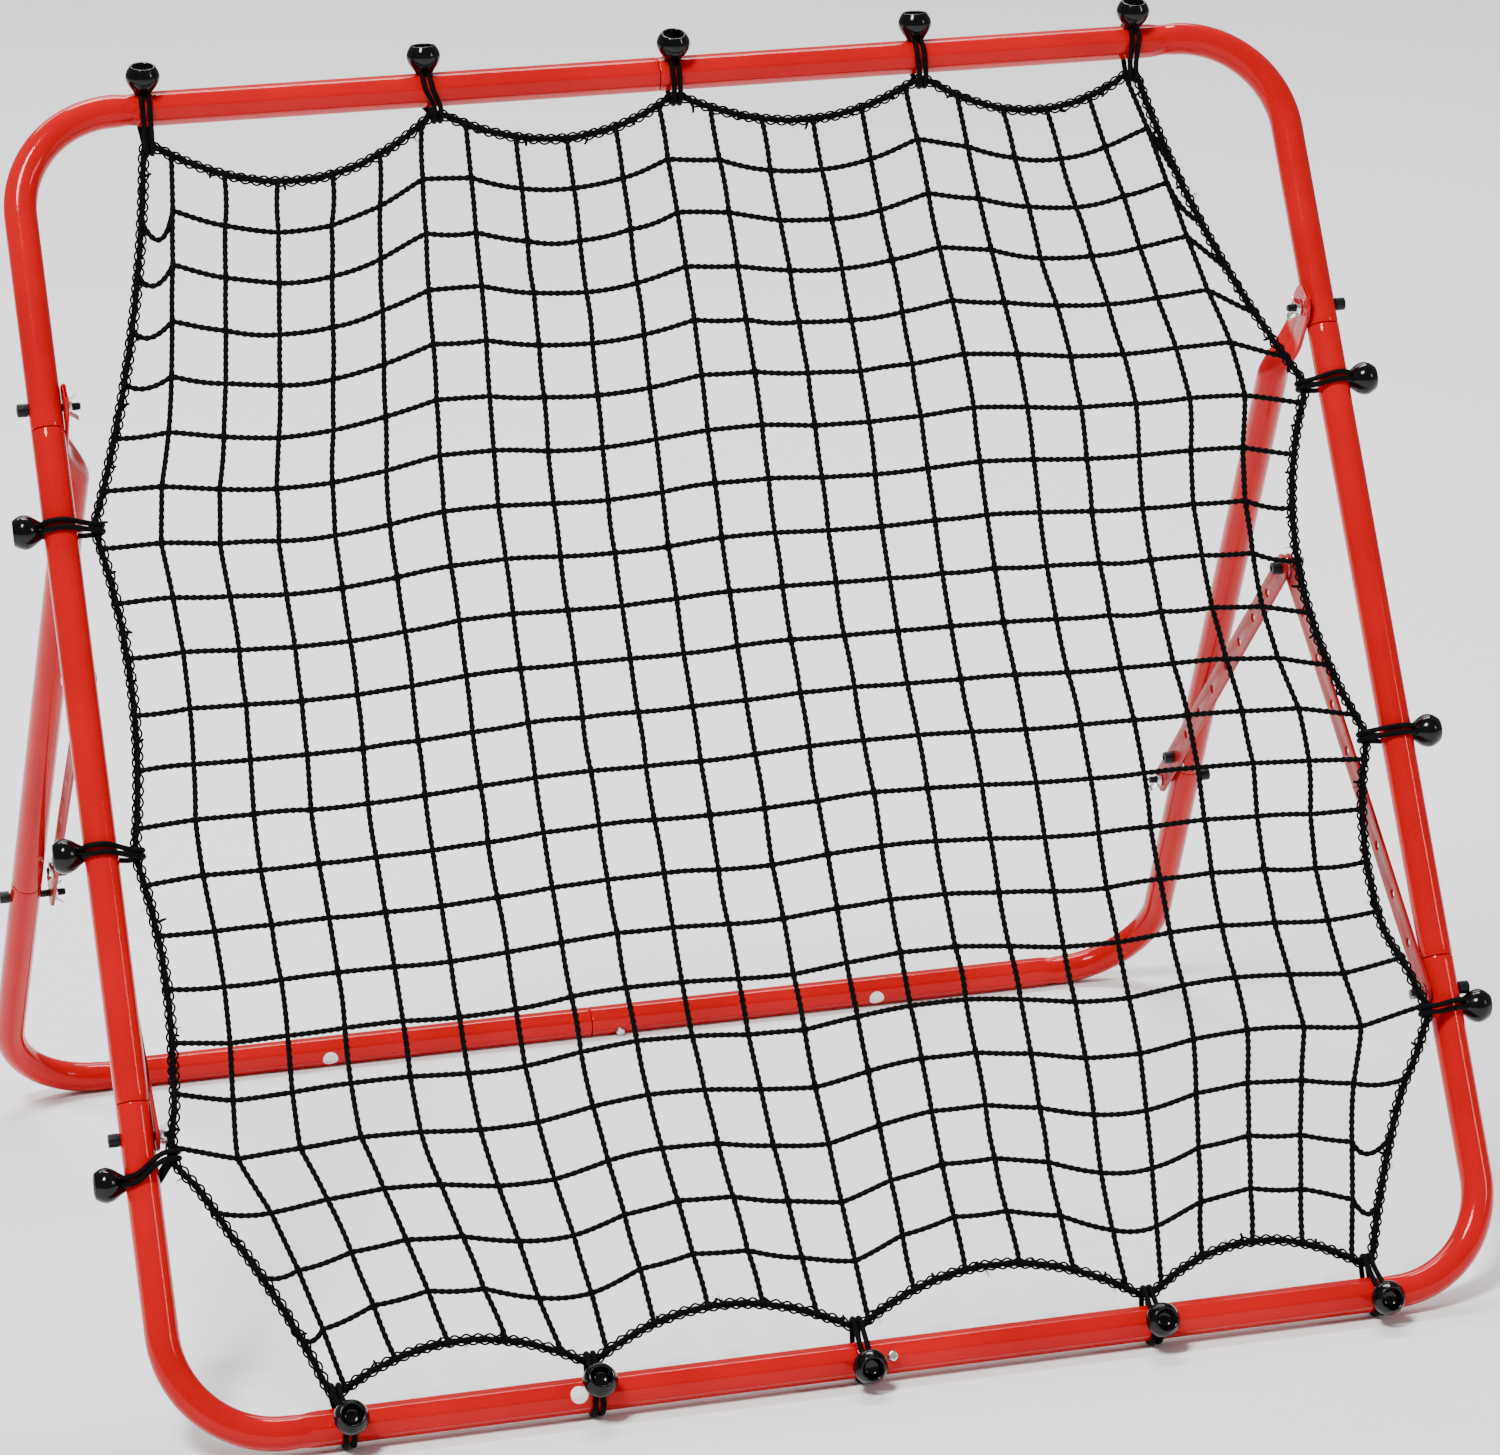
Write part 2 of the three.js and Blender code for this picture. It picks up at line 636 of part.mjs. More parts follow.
/** Outline round the bar (at the origin) and round the net's rope (at y = -reach). */
function loopOutline(barRadius, ropeRadius, reach) {
  const tangent = Math.PI - Math.acos((barRadius - ropeRadius) / reach);
  const sweep = (radius, y, from, to, steps) => Array.from({ length: steps + 1 }, (_, i) => {
    const angle = from + ((to - from) * i) / steps;
    return new THREE.Vector2(radius * Math.sin(angle), y + radius * Math.cos(angle));
  });
  const overBar = sweep(barRadius, 0, -tangent, tangent, LOOP_STEPS);
  const underRope = sweep(ropeRadius, -reach, tangent, 2 * Math.PI - tangent, LOOP_STEPS / 2);
  return [...overBar, ...underRope];
}

/** Ball with a necked lower end at the origin and a shallow cup in its outer end, along +Y. */
function ball() {
  const points = [
    [0, 0],
    [0.45 * BALL_RADIUS, 0],
    [0.85 * BALL_RADIUS, 0.22 * BALL_LENGTH],
    [BALL_RADIUS, 0.52 * BALL_LENGTH],
    [0.92 * BALL_RADIUS, 0.82 * BALL_LENGTH],
    [0.74 * BALL_RADIUS, BALL_LENGTH],
    [0.6 * BALL_RADIUS, 0.85 * BALL_LENGTH],
    [0, 0.8 * BALL_LENGTH],
  ].map(([radius, along]) => new THREE.Vector2(radius, along));
  return new THREE.LatheGeometry(points, 10);
}

/** Elastic loop with its ball, placed on its bar. */
function bungee(hook) {
  const outer = loopOutline(LOOP_RADIUS + CORD_THICKNESS, EDGE_RADIUS + 0.5 + CORD_THICKNESS, hook.hold);
  const inner = loopOutline(LOOP_RADIUS + 0.4, EDGE_RADIUS + 0.7, hook.hold).reverse();
  const outline = new THREE.Shape(outer);
  outline.holes.push(new THREE.Path(inner));
  const band = new THREE.ExtrudeGeometry(outline, { depth: LOOP_WIDTH, bevelEnabled: false })
    .translate(0, 0, -LOOP_WIDTH / 2);
  const swing = hook.bar === 'bottom' ? -Math.PI / 2 - FRONT_BALL_LIFT : 0;
  const seat = LOOP_RADIUS + CORD_THICKNESS - 2.5;
  const end = ball().translate(0, seat, 0).rotateZ(swing);
  const { centre, along, inward } = hookFrame(hook);
  const outward = new THREE.Vector3(-inward.x, 0, -inward.y);
  const barward = new THREE.Vector3(along.x, 0, along.y);
  const across = outward.clone().cross(barward);
  const place = new THREE.Matrix4().makeBasis(across, outward, barward).setPosition(centre.x, 0, centre.y);
  return join(band, end).applyMatrix4(place);
}

// ---------- Assembly ----------

const materials = {
  paint: { color: 0xc8201a, roughness: 0.32, metalness: 0.1 },
  strapPaint: { color: 0xb52a28, roughness: 0.42, metalness: 0.1 },
  bolt: { color: 0x101011, roughness: 0.45, metalness: 0.5 },
  zinc: { color: 0xc9ccce, roughness: 0.3, metalness: 1 },
  net: { color: 0x17181a, roughness: 0.85, metalness: 0 },
  bungee: { color: 0x0c0c0d, roughness: 0.25, metalness: 0 },
};

function add(parent, name, geometry, material) {
  const mesh = new THREE.Mesh(geometry, new THREE.MeshStandardMaterial(materials[material]));
  mesh.name = name;
  parent.add(mesh);
  return mesh;
}

const rebounder = new THREE.Group();
const frontFrame = new THREE.Group();
frontFrame.position.z = barLift;
frontFrame.rotation.x = -FRAME_LEAN;
const stand = new THREE.Group();
stand.position.set(0, pivotY, pivotZ);
stand.rotation.x = legLean;
rebounder.add(frontFrame, stand);

/** A bolt whose head stands out to `facing` (+1 or -1 along X) from x, at a (y, z) point. */
function addBolt(name, x, place, facing, shankLength) {
  const mesh = add(rebounder, name, forSide(facing, bolt(shankLength)), 'bolt');
  mesh.position.set(x, place.x, place.y);
}

/** A wing nut seated at x whose wings point to `facing`, turned by some angle about its bolt. */
function addNut(name, x, place, facing, turn, geometry) {
  const mesh = add(rebounder, name, forSide(facing, geometry), 'zinc');
  mesh.position.set(x, place.x, place.y);
  mesh.rotation.x = turn;
}

function addStrap(name, side, x, from, to) {
  const mesh = add(rebounder, name, forSide(side, strap()), 'strapPaint');
  mesh.position.set(side * x, from.x, from.y);
  mesh.rotation.x = turnTowards(from, to);
}

function addSnapButton(name, group, barZ, tilt) {
  const button = add(group, `${name}_button`, snapButton(), 'zinc');
  button.position.set(BUTTON_OFFSET, 0, barZ);
  button.rotation.x = tilt;
  const spring = add(group, `${name}_leaf_spring`, leafSpring(), 'zinc');
  spring.position.set(0, 0, barZ);
  spring.rotation.x = tilt;
}

const elbow = elbowPoint();
const frontStrapPoint = onFrame(FRONT_STRAP_HEIGHT);
const rearStrapPoint = onLeg(REAR_STRAP_DISTANCE);
const pivotPoint = new THREE.Vector2(pivotY, pivotZ);
const stopPoint = rearStrapPoint.clone().lerp(elbow, 1 / (HOLE_COUNT - 1));

for (const side of [LEFT, RIGHT]) {
  const name = side === LEFT ? 'left' : 'right';
  add(frontFrame, `frame_top_${name}_corner`, topCorner(side), 'paint');
  add(frontFrame, `frame_${name}_upright`, upright(side), 'paint');
  add(frontFrame, `frame_bottom_${name}_corner`, bottomCorner(side), 'paint');
  add(stand, `stand_${name}_leg`, standLeg(side), 'paint');
  add(stand, `stand_${name}_foot`, standFoot(side), 'paint');
  addStrap(`${name}_front_strap`, side, frontStrapX, frontStrapPoint, elbow);
  addStrap(`${name}_rear_strap`, side, rearStrapX, rearStrapPoint, elbow);

  const frameHeadX = FRAME_HALF + TUBE_RADIUS + CLEARANCE;
  const pivotNutX = flatX - FLAT_HALF_THICKNESS - CLEARANCE;
  addBolt(`${name}_pivot_bolt`, side * frameHeadX, pivotPoint, side, frameHeadX - pivotNutX + TIP_LENGTH);
  addNut(`${name}_pivot_wing_nut`, side * pivotNutX, pivotPoint, -side, 0.5 * side, wingNut(NUT_HEIGHT, HOLE_RADIUS));

  const frontNutX = frontStrapX - CLEARANCE;
  addBolt(`${name}_front_strap_bolt`, side * frameHeadX, frontStrapPoint, side,
    frameHeadX - frontNutX + TIP_LENGTH);
  addNut(`${name}_front_strap_wing_nut`, side * frontNutX, frontStrapPoint, -side, 1.1 * side,
    wingNut(NUT_HEIGHT, HOLE_RADIUS));

  const rearHeadX = legX(REAR_STRAP_DISTANCE) + TUBE_RADIUS + 2 * CLEARANCE;
  const rearNutX = rearStrapX - CLEARANCE;
  addBolt(`${name}_rear_strap_bolt`, side * rearHeadX, rearStrapPoint, side, rearHeadX - rearNutX + TIP_LENGTH);
  addNut(`${name}_rear_strap_wing_nut`, side * rearNutX, rearStrapPoint, -side, 0.35 * side,
    wingNut(NUT_HEIGHT, HOLE_RADIUS));

  const stopNutX = rearStrapX + STRAP_THICKNESS + CLEARANCE;
  const stopShank = STRAP_THICKNESS + 2 * CLEARANCE + LOW_NUT_HEIGHT + 0.6;
  addBolt(`${name}_stop_bolt`, side * rearNutX, stopPoint, -side, stopShank);
  addNut(`${name}_stop_wing_nut`, side * stopNutX, stopPoint, side, -0.6 * side,
    wingNut(LOW_NUT_HEIGHT, HOLE_RADIUS));

  const elbowShank = STRAP_THICKNESS + SPACER_THICKNESS + 2 * CLEARANCE;
  addBolt(`${name}_elbow_bolt`, side * rearNutX, elbow, -side, elbowShank);
  addNut(`${name}_elbow_wing_nut`, side * (frontStrapX + STRAP_THICKNESS + CLEARANCE), elbow, side, 0.8 * side,
    cappedWingNut());
  const ring = add(rebounder, `${name}_elbow_spacer`, forSide(side, spacer()), 'zinc');
  ring.position.set(side * (rearStrapX + STRAP_THICKNESS + CLEARANCE), elbow.x, elbow.y);
}

addSnapButton('top_joint', frontFrame, FRAME_SIDE, topButtonTilt);
addSnapButton('bottom_joint', frontFrame, 0, bottomButtonTilt);
addSnapButton('base_joint', stand, -LEG_LENGTH, baseButtonTilt);

add(frontFrame, 'net', netPanel(), 'net');
add(frontFrame, 'net_edge_rope', edgeRope(), 'net');
const hookCounts = {};
for (const hook of HOOKS) {
  hookCounts[hook.bar] = (hookCounts[hook.bar] ?? 0) + 1;
  add(frontFrame, `ball_bungee_${hook.bar}_${hookCounts[hook.bar]}`, bungee(hook), 'bungee');
}

// The origin is under the middle of the whole object, on the ground.
const bounds = new THREE.Box3().setFromObject(rebounder, true);
const middle = bounds.getCenter(new THREE.Vector3());
rebounder.position.set(-middle.x, -middle.y, -bounds.min.z);

export default rebounder;
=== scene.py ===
"""Looks of a pitch back rebounder: red tube frame and stand, knotted net, ball bungees and its hardware.

Metres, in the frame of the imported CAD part: +Z up, the net faces -Y, +X is the player's right.
"""

import math
from typing import NamedTuple

import bmesh
import bpy
import numpy as np
from mathutils import Matrix, Vector


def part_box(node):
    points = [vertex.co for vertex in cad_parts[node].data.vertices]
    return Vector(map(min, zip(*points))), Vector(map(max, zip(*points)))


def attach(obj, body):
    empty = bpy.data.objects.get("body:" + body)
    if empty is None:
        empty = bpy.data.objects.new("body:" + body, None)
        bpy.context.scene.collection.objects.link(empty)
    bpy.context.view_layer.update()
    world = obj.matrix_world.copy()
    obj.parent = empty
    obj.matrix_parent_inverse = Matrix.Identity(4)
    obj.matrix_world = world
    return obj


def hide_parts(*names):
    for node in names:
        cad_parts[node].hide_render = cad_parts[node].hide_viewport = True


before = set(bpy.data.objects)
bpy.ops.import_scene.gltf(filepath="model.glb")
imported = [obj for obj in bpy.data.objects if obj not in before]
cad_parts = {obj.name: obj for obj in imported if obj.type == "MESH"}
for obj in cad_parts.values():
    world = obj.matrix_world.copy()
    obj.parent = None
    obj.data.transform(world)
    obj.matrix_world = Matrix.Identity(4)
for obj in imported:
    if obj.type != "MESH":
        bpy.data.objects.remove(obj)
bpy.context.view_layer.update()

# ---------- Dimensions, metres and radians ----------

SIDES = {"left": -1, "right": 1}
ALONG_X = np.array([1.0, 0.0, 0.0])

FRAME_SIDE = 1.0
FRAME_HALF = FRAME_SIDE / 2
FRAME_LEAN = math.radians(28.4)
UPPER_SEAM = 0.755
LOWER_SEAM = 0.248
PIVOT_HEIGHT = 0.772
STUD_HEIGHT = 0.540

TUBE_RADIUS = 0.0125
TUBE_WALL = 0.0012
BAR_HALF_FLAT = 0.01235
BAR_CORNER_RADIUS = 0.01318
BEND_RADIUS = 0.080
FLATS_EASE = 0.022
SPIGOT_RADIUS = 0.0106
SPIGOT_LENGTH = 0.040
SEAM_GAP = 0.0003
LIP = 0.0007
TOP_BAR_TURN = math.radians(10)
TUBE_SIDES = 64

LEG_LENGTH = 0.839
LEG_HALF_SPREAD = 0.5145
LEG_SEAM = 0.560
FLAT_HALF_THICKNESS = 0.0016
FLAT_HALF_WIDTH = 0.017
FLAT_TIP = 0.017
FLAT_LENGTH = 0.026
FLAT_EASE = 0.052

STRAP_WIDTH = 0.022
STRAP_THICKNESS = 0.0025
HOLE_COUNT = 10
HOLE_RADIUS = 0.0034

BOLT_RADIUS = 0.0031
HEAD_RADIUS = 0.005
HEAD_LENGTH = 0.008
THREAD_PITCH = 0.001
WING_REACH = 0.0115
BUTTON_RADIUS = 0.0038
BUTTON_OFFSET = 0.025
NUT_TURNS = {"pivot": 0.5, "front_strap": 1.1, "rear_strap": 0.35, "stop": -0.6, "elbow": 0.8}

CAMERA_PLACE = (-0.9758, -3.9841, 1.4947)
CAMERA_AZIMUTH = math.radians(14.33)
CAMERA_DROP = math.radians(15.08)
CAMERA_ROLL = math.radians(-1.81)
CAMERA_LENS = 130.06


# ---------- Camera ----------

def make_camera():
    """The photograph's view: a long lens, a little above the net and left of it."""
    azimuth, drop = CAMERA_AZIMUTH, CAMERA_DROP
    ahead = Vector((
        math.sin(azimuth) * math.cos(drop),
        math.cos(azimuth) * math.cos(drop),
        -math.sin(drop),
    ))
    level = Vector((math.cos(azimuth), -math.sin(azimuth), 0))
    upright = level.cross(ahead)
    right = level * math.cos(CAMERA_ROLL) + upright * math.sin(CAMERA_ROLL)
    up = right.cross(ahead)
    camera = bpy.data.objects.new("camera", bpy.data.cameras.new("camera"))
    camera.data.lens = CAMERA_LENS
    camera.data.clip_end = 50
    turn = Matrix((right, up, -ahead)).transposed()
    camera.matrix_world = Matrix.Translation(CAMERA_PLACE) @ turn.to_4x4()
    bpy.context.collection.objects.link(camera)
    bpy.context.scene.camera = camera


make_camera()


# ---------- Places worked out from the frame ----------

class Plane:
    """A leaning plane that shares +X: a point has x, a height along `up` and a depth along `back`."""

    def __init__(self, origin, up):
        self.origin = np.array(origin, float)
        self.up = np.array(up, float)
        self.back = np.cross(self.up, ALONG_X)

    def at(self, x, height, back=0.0):
        x, height, back = np.broadcast_arrays(x, height, back)
        across = x[..., None] * ALONG_X
        return self.origin + across + height[..., None] * self.up + back[..., None] * self.back


def box_centre(node):
    low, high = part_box(node)
    return np.array((low + high) / 2)


pivot = box_centre("right_pivot_bolt") * (0, 1, 1)
frame_up = np.array([0, math.sin(FRAME_LEAN), math.cos(FRAME_LEAN)])
front_plane = Plane(pivot - PIVOT_HEIGHT * frame_up, frame_up)
leg_lean = math.acos((pivot[2] - BAR_HALF_FLAT) / LEG_LENGTH)
stand_plane = Plane(pivot, (0, -math.sin(leg_lean), math.cos(leg_lean)))
UPRIGHT_FACE = FRAME_HALF - TUBE_RADIUS
LEG_TOP_X = UPRIGHT_FACE - SEAM_GAP - TUBE_RADIUS
FLAT_X = UPRIGHT_FACE - SEAM_GAP - FLAT_HALF_THICKNESS


def leg_x(distance):
    """Sideways place of the leg's axis at a distance down the leg."""
    run = (distance - FLAT_LENGTH) / (LEG_LENGTH - FLAT_LENGTH)
    return LEG_TOP_X + (LEG_HALF_SPREAD - LEG_TOP_X) * np.maximum(run, 0)


def smoothstep(value):
    value = np.clip(value, 0, 1)
    return value * value * (3 - 2 * value)


# ---------- Meshes ----------

class Shape:
    """Points and faces of one piece, gathered from several bodies before it becomes an object."""

    def __init__(self):
        self.points = []
        self.faces = []
        self.corner_uvs = []
        self.count = 0

    def add(self, points, faces, corner_uvs=None):
        """faces are lists of point numbers with one length; corner_uvs match them corner by corner."""
        faces = np.asarray(faces, np.int64)
        self.points.append(np.asarray(points, float).reshape(-1, 3))
        self.faces.append(faces + self.count)
        if corner_uvs is None:
            corner_uvs = np.zeros((*faces.shape, 2))
        self.corner_uvs.append(np.asarray(corner_uvs, float))
        self.count += len(self.points[-1])
        return self

    def loft(self, rings, lengths=None, closed=False, caps=False):
        """Skin through rings of points. closed joins the last ring to the first; caps close both ends."""
        rings = np.asarray(rings, float)
        count, sides = rings.shape[:2]
        first = np.arange(count if closed else count - 1)
        side = np.arange(sides)
        i, k = np.meshgrid(first, side, indexing="ij")
        j, k1 = (i + 1) % count, (k + 1) % sides
        faces = np.stack([i * sides + k, i * sides + k1, j * sides + k1, j * sides + k], -1)
        if lengths is None:
            steps = np.linalg.norm(np.diff(rings.mean(1), axis=0), axis=1)
            lengths = np.r_[0, np.cumsum(steps)]
        lengths = np.r_[lengths, 2 * lengths[-1] - lengths[-2]]
        u, v = k / sides, lengths[i]
        uvs = np.stack([
            np.stack([u, v], -1),
            np.stack([u + 1 / sides, v], -1),
            np.stack([u + 1 / sides, lengths[i + 1]], -1),
            np.stack([u, lengths[i + 1]], -1),
        ], -2)
        base = self.count
        self.add(rings, faces.reshape(-1, 4), uvs.reshape(-1, 4, 2))
        if caps:
            self.faces.append((base + side[::-1])[None])
            self.faces.append((base + (count - 1) * sides + side)[None])
            self.corner_uvs.extend([np.zeros((1, sides, 2)), np.zeros((1, sides, 2))])
        return self

    def mirror(self):
        """The same shape on the other side of x = 0, its faces still pointing out."""
        self.points = [points * (-1, 1, 1) for points in self.points]
        self.faces = [faces[:, ::-1] for faces in self.faces]
        self.corner_uvs = [uvs[:, ::-1] for uvs in self.corner_uvs]
        return self

    def place(self, matrix):
        turn, shift = np.array(matrix)[:3, :3], np.array(matrix)[:3, 3]
        self.points = [points @ turn.T + shift for points in self.points]
        return self

    def merge(self, other):
        for points in other.points:
            self.points.append(points)
        self.faces.extend(faces + self.count for faces in other.faces)
        self.corner_uvs.extend(other.corner_uvs)
        self.count += other.count
        return self


def make_piece(name, shape, material, body, replaced=(), sharp=32):
    """One object from a shape: smooth shading with edges sharper than `sharp` degrees kept crisp."""
    mesh = bpy.data.meshes.new(name)
    points = np.concatenate(shape.points)
    corners = np.concatenate([faces.ravel() for faces in shape.faces])
    sizes = np.concatenate([np.full(len(faces), faces.shape[1]) for faces in shape.faces])
    uvs = np.concatenate([uv.reshape(-1, 2) for uv in shape.corner_uvs])
    mesh.vertices.add(len(points))
    mesh.vertices.foreach_set("co", points.astype(np.float32).ravel())
    mesh.loops.add(len(corners))
    mesh.loops.foreach_set("vertex_index", corners.astype(np.int32))
    mesh.polygons.add(len(sizes))
    mesh.polygons.foreach_set("loop_start", np.r_[0, np.cumsum(sizes)[:-1]].astype(np.int32))
    layer = mesh.uv_layers.new(name="UVMap")
    mesh.update(calc_edges=True)
    layer.data.foreach_set("uv", uvs.astype(np.float32).ravel())
    mesh.validate()
    mesh.shade_smooth()
    mesh.set_sharp_from_angle(angle=math.radians(sharp))
    mesh.materials.append(material)
    piece = bpy.data.objects.new(name, mesh)
    bpy.context.collection.objects.link(piece)
    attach(piece, body)
    if replaced:
        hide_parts(*replaced)
    return piece


def unit(vectors):
    vectors = np.asarray(vectors, float)
    return vectors / np.maximum(np.linalg.norm(vectors, axis=-1, keepdims=True), 1e-12)


def tangents_of(points, closed=False):
    if closed:
        return unit(np.roll(points, -1, 0) - np.roll(points, 1, 0))
    return unit(np.gradient(points, axis=0))


def cord_rings(points, reference, radius, sides, closed=False):
    """Rings round a path. reference is a direction kept across it; radius may change by point and angle."""
    tangent = tangents_of(points, closed)
    reference = np.broadcast_to(reference, points.shape)
    across = unit(reference - (reference * tangent).sum(-1, keepdims=True) * tangent)
    other = np.cross(tangent, across)
    angles = 2 * np.pi * np.arange(sides) / sides
    radius = np.broadcast_to(radius, (len(points), sides))[..., None]
    spread = across[:, None] * np.cos(angles)[:, None] + other[:, None] * np.sin(angles)[:, None]
    return points[:, None] + radius * spread


def lathe(profile, sides):
    """Rings about +Z from (radius, height) pairs; the first and last radius may be zero."""
    angles = 2 * np.pi * np.arange(sides) / sides
    circle = np.stack([np.cos(angles), np.sin(angles), 0 * angles], -1)
    return np.array([max(r, 1e-6) * circle + (0, 0, z) for r, z in profile])


def turned(profile, sides):
    """Closed solid of revolution about +Z whose profile starts and ends on the axis."""
    return Shape().loft(lathe(profile, sides), caps=True)


def rounded_corner(centre, radius, start_angle, end_angle, steps=4):
    """Arc of (radius, height) pairs, angles in degrees from the outward direction."""
    angles = np.radians(np.linspace(start_angle, end_angle, steps + 1))
    return [(centre[0] + radius * math.cos(a), centre[1] + radius * math.sin(a)) for a in angles]


def axis_matrix(origin, direction, roll=0.0):
    """Puts +Z along direction at origin; roll turns the piece about it."""
    turn = Vector((0, 0, 1)).rotation_difference(Vector(direction)).to_matrix().to_4x4()
    return Matrix.Translation(Vector(origin)) @ turn @ Matrix.Rotation(roll, 4, "Z")


# ---------- Materials ----------

class Nodes:
    """Short names for the shader nodes of one material."""

    def __init__(self, name):
        self.material = bpy.data.materials.new(name)
        self.material.use_nodes = True
        self.tree = self.material.node_tree
        self.shader = self.tree.nodes["Principled BSDF"]

    def add(self, kind, **settings):
        node = self.tree.nodes.new(kind)
        for key, value in settings.items():
            setattr(node, key, value)
        return node

    def link(self, source, target):
        self.tree.links.new(source, target)
        return target

    def set(self, **values):
        """Sets shader sockets; words are joined by underscores."""
        for key, value in values.items():
            self.shader.inputs[key.replace("_", " ")].default_value = value
        return self

    def place(self, kind="Object"):
        return self.add("ShaderNodeTexCoord").outputs[kind]

    def noise(self, scale, detail=4.0, roughness=0.55):
        node = self.add("ShaderNodeTexNoise")
        node.inputs["Scale"].default_value = scale
        node.inputs["Detail"].default_value = detail
        node.inputs["Roughness"].default_value = roughness
        self.link(self.place(), node.inputs["Vector"])
        return node.outputs["Fac"]

    def specks(self, scale, size):
        """1 in small round spots, 0 between them."""
        node = self.add("ShaderNodeTexVoronoi")
        node.inputs["Scale"].default_value = scale
        self.link(self.place(), node.inputs["Vector"])
        return self.span(node.outputs["Distance"], size, 0.6 * size, 0, 1)

    def span(self, value, low, high, out_low, out_high):
        node = self.add("ShaderNodeMapRange")
        self.link(value, node.inputs["Value"])
        for key, number in zip(("From Min", "From Max", "To Min", "To Max"), (low, high, out_low, out_high)):
            node.inputs[key].default_value = number
        return node.outputs["Result"]

    def math(self, operation, first, second=None):
        node = self.add("ShaderNodeMath", operation=operation)
        for socket, value in zip(node.inputs, (first, second)):
            if value is None:
                continue
            if isinstance(value, (int, float)):
                socket.default_value = value
            else:
                self.link(value, socket)
        return node.outputs[0]

    def mix(self, factor, first, second):
        node = self.add("ShaderNodeMix", data_type="RGBA")
        self.link(factor, node.inputs["Factor"])
        for socket, colour in zip((node.inputs[6], node.inputs[7]), (first, second)):
            if isinstance(colour, tuple):
                socket.default_value = (*colour, 1)
            else:
                self.link(colour, socket)
        return node.outputs[2]

    def colour(self, socket):
        self.link(socket, self.shader.inputs["Base Color"])

    def roughness(self, socket):
        self.link(socket, self.shader.inputs["Roughness"])

    def bump(self, height, distance):
        node = self.add("ShaderNodeBump")
        node.inputs["Distance"].default_value = distance
        node.inputs["Strength"].default_value = 1.0
        self.link(height, node.inputs["Height"])
        self.link(node.outputs["Normal"], self.shader.inputs["Normal"])


def paint(name, bright, dark, rough_low, rough_high, ior):
    """Glossy powder coat: faint orange peel, soft mottling, a few dust nibs and rubbed patches."""
    n = Nodes(name)
    mottle = n.noise(9, detail=5)
    cloud = n.mix(n.span(mottle, 0.35, 0.7, 0, 1), dark, bright)
    nibs = n.specks(210, 0.06)
    thinned = n.math("MULTIPLY", nibs, n.span(n.noise(14), 0.52, 0.6, 0, 1))
    n.colour(n.mix(n.math("MULTIPLY", thinned, 0.5), cloud, tuple(0.45 * c for c in dark)))
    rubbed = n.span(n.noise(26, detail=8, roughness=0.7), 0.45, 0.75, rough_low, rough_high)
    n.roughness(rubbed)
    peel = n.math("ADD", n.noise(420, detail=2), n.math("MULTIPLY", thinned, -1.5))
    n.bump(peel, 0.00006)
    n.set(IOR=ior, Specular_Tint=(1.0, 0.34, 0.32, 1))
    return n.material


def zinc():
    """Bright zinc plate with fine drawn grain and duller smudges."""
    n = Nodes("zinc_plate")
    smudge = n.noise(240, detail=5)
    n.colour(n.mix(smudge, (0.60, 0.61, 0.62), (0.86, 0.86, 0.84)))
    n.roughness(n.span(n.noise(600, detail=6), 0.3, 0.7, 0.2, 0.42))
    n.bump(n.noise(1500, detail=3), 0.00003)
    n.set(Metallic=1.0)
    return n.material


def black_steel():
    """Black coated steel, its coating thin on the high spots."""
    n = Nodes("black_steel")
    thin = n.span(n.noise(700, detail=6), 0.56, 0.72, 0, 1)
    n.colour(n.mix(thin, (0.0035, 0.0035, 0.0038), (0.014, 0.0135, 0.013)))
    n.roughness(n.span(n.noise(450, detail=4), 0.3, 0.7, 0.32, 0.5))
    n.bump(n.noise(1300, detail=3), 0.00004)
    n.set(IOR=1.3)
    return n.material


def braid_height(n, turns, pitch):
    """Height of a braided sheath: two sets of ridges that cross, from the piece's own length and turn."""
    axes = n.add("ShaderNodeSeparateXYZ")
    n.link(n.place("UV"), axes.inputs[0])
    around = n.math("MULTIPLY", axes.outputs[0], 2 * math.pi * turns)
    along = n.math("MULTIPLY", axes.outputs[1], 2 * math.pi / pitch)
    one = n.math("SINE", n.math("ADD", around, along))
    other = n.math("SINE", n.math("SUBTRACT", around, along))
    return n.math("MAXIMUM", one, other)


def twine(name, shade, turns, pitch, depth):
    """Black synthetic twine: braid relief, painted shading (lighter braid crests, darker grooves) flecked
    with random fibre tone, a slight sheen and stray fibres.
    """
    n = Nodes(name)
    braid = braid_height(n, turns, pitch)
    crest = n.span(braid, -0.4, 1, 0, 1)
    fibre = n.noise(2600, detail=4)
    # Painted shading: the colour stays full on the braid's crests and drops to 0.35 of it in the grooves,
    # flecked by random fibre tone.
    painted_braid_shading = n.math("MULTIPLY", crest, n.span(fibre, 0.3, 0.8, 0.3, 1))
    n.colour(n.mix(painted_braid_shading, tuple(0.35 * c for c in shade), shade))
    n.roughness(n.span(fibre, 0.3, 0.7, 0.5, 0.78))
    n.bump(n.math("ADD", n.math("MULTIPLY", braid, 0.7), fibre), depth)
    n.set(Sheen_Weight=0.006, Sheen_Roughness=0.5, IOR=1.14)
    return n.material


def ball_plastic():
    """Glossy black moulded plastic with faint flow marks and handling dust."""
    n = Nodes("ball_plastic")
    dust = n.span(n.noise(900, detail=6), 0.6, 0.75, 0, 1)
    n.colour(n.mix(dust, (0.0016, 0.0016, 0.0018), (0.0060, 0.0060, 0.0064)))
    n.roughness(n.span(n.noise(160, detail=5), 0.35, 0.7, 0.07, 0.18))
    n.bump(n.noise(300, detail=2), 0.00005)
    n.set(IOR=1.34)
    return n.material


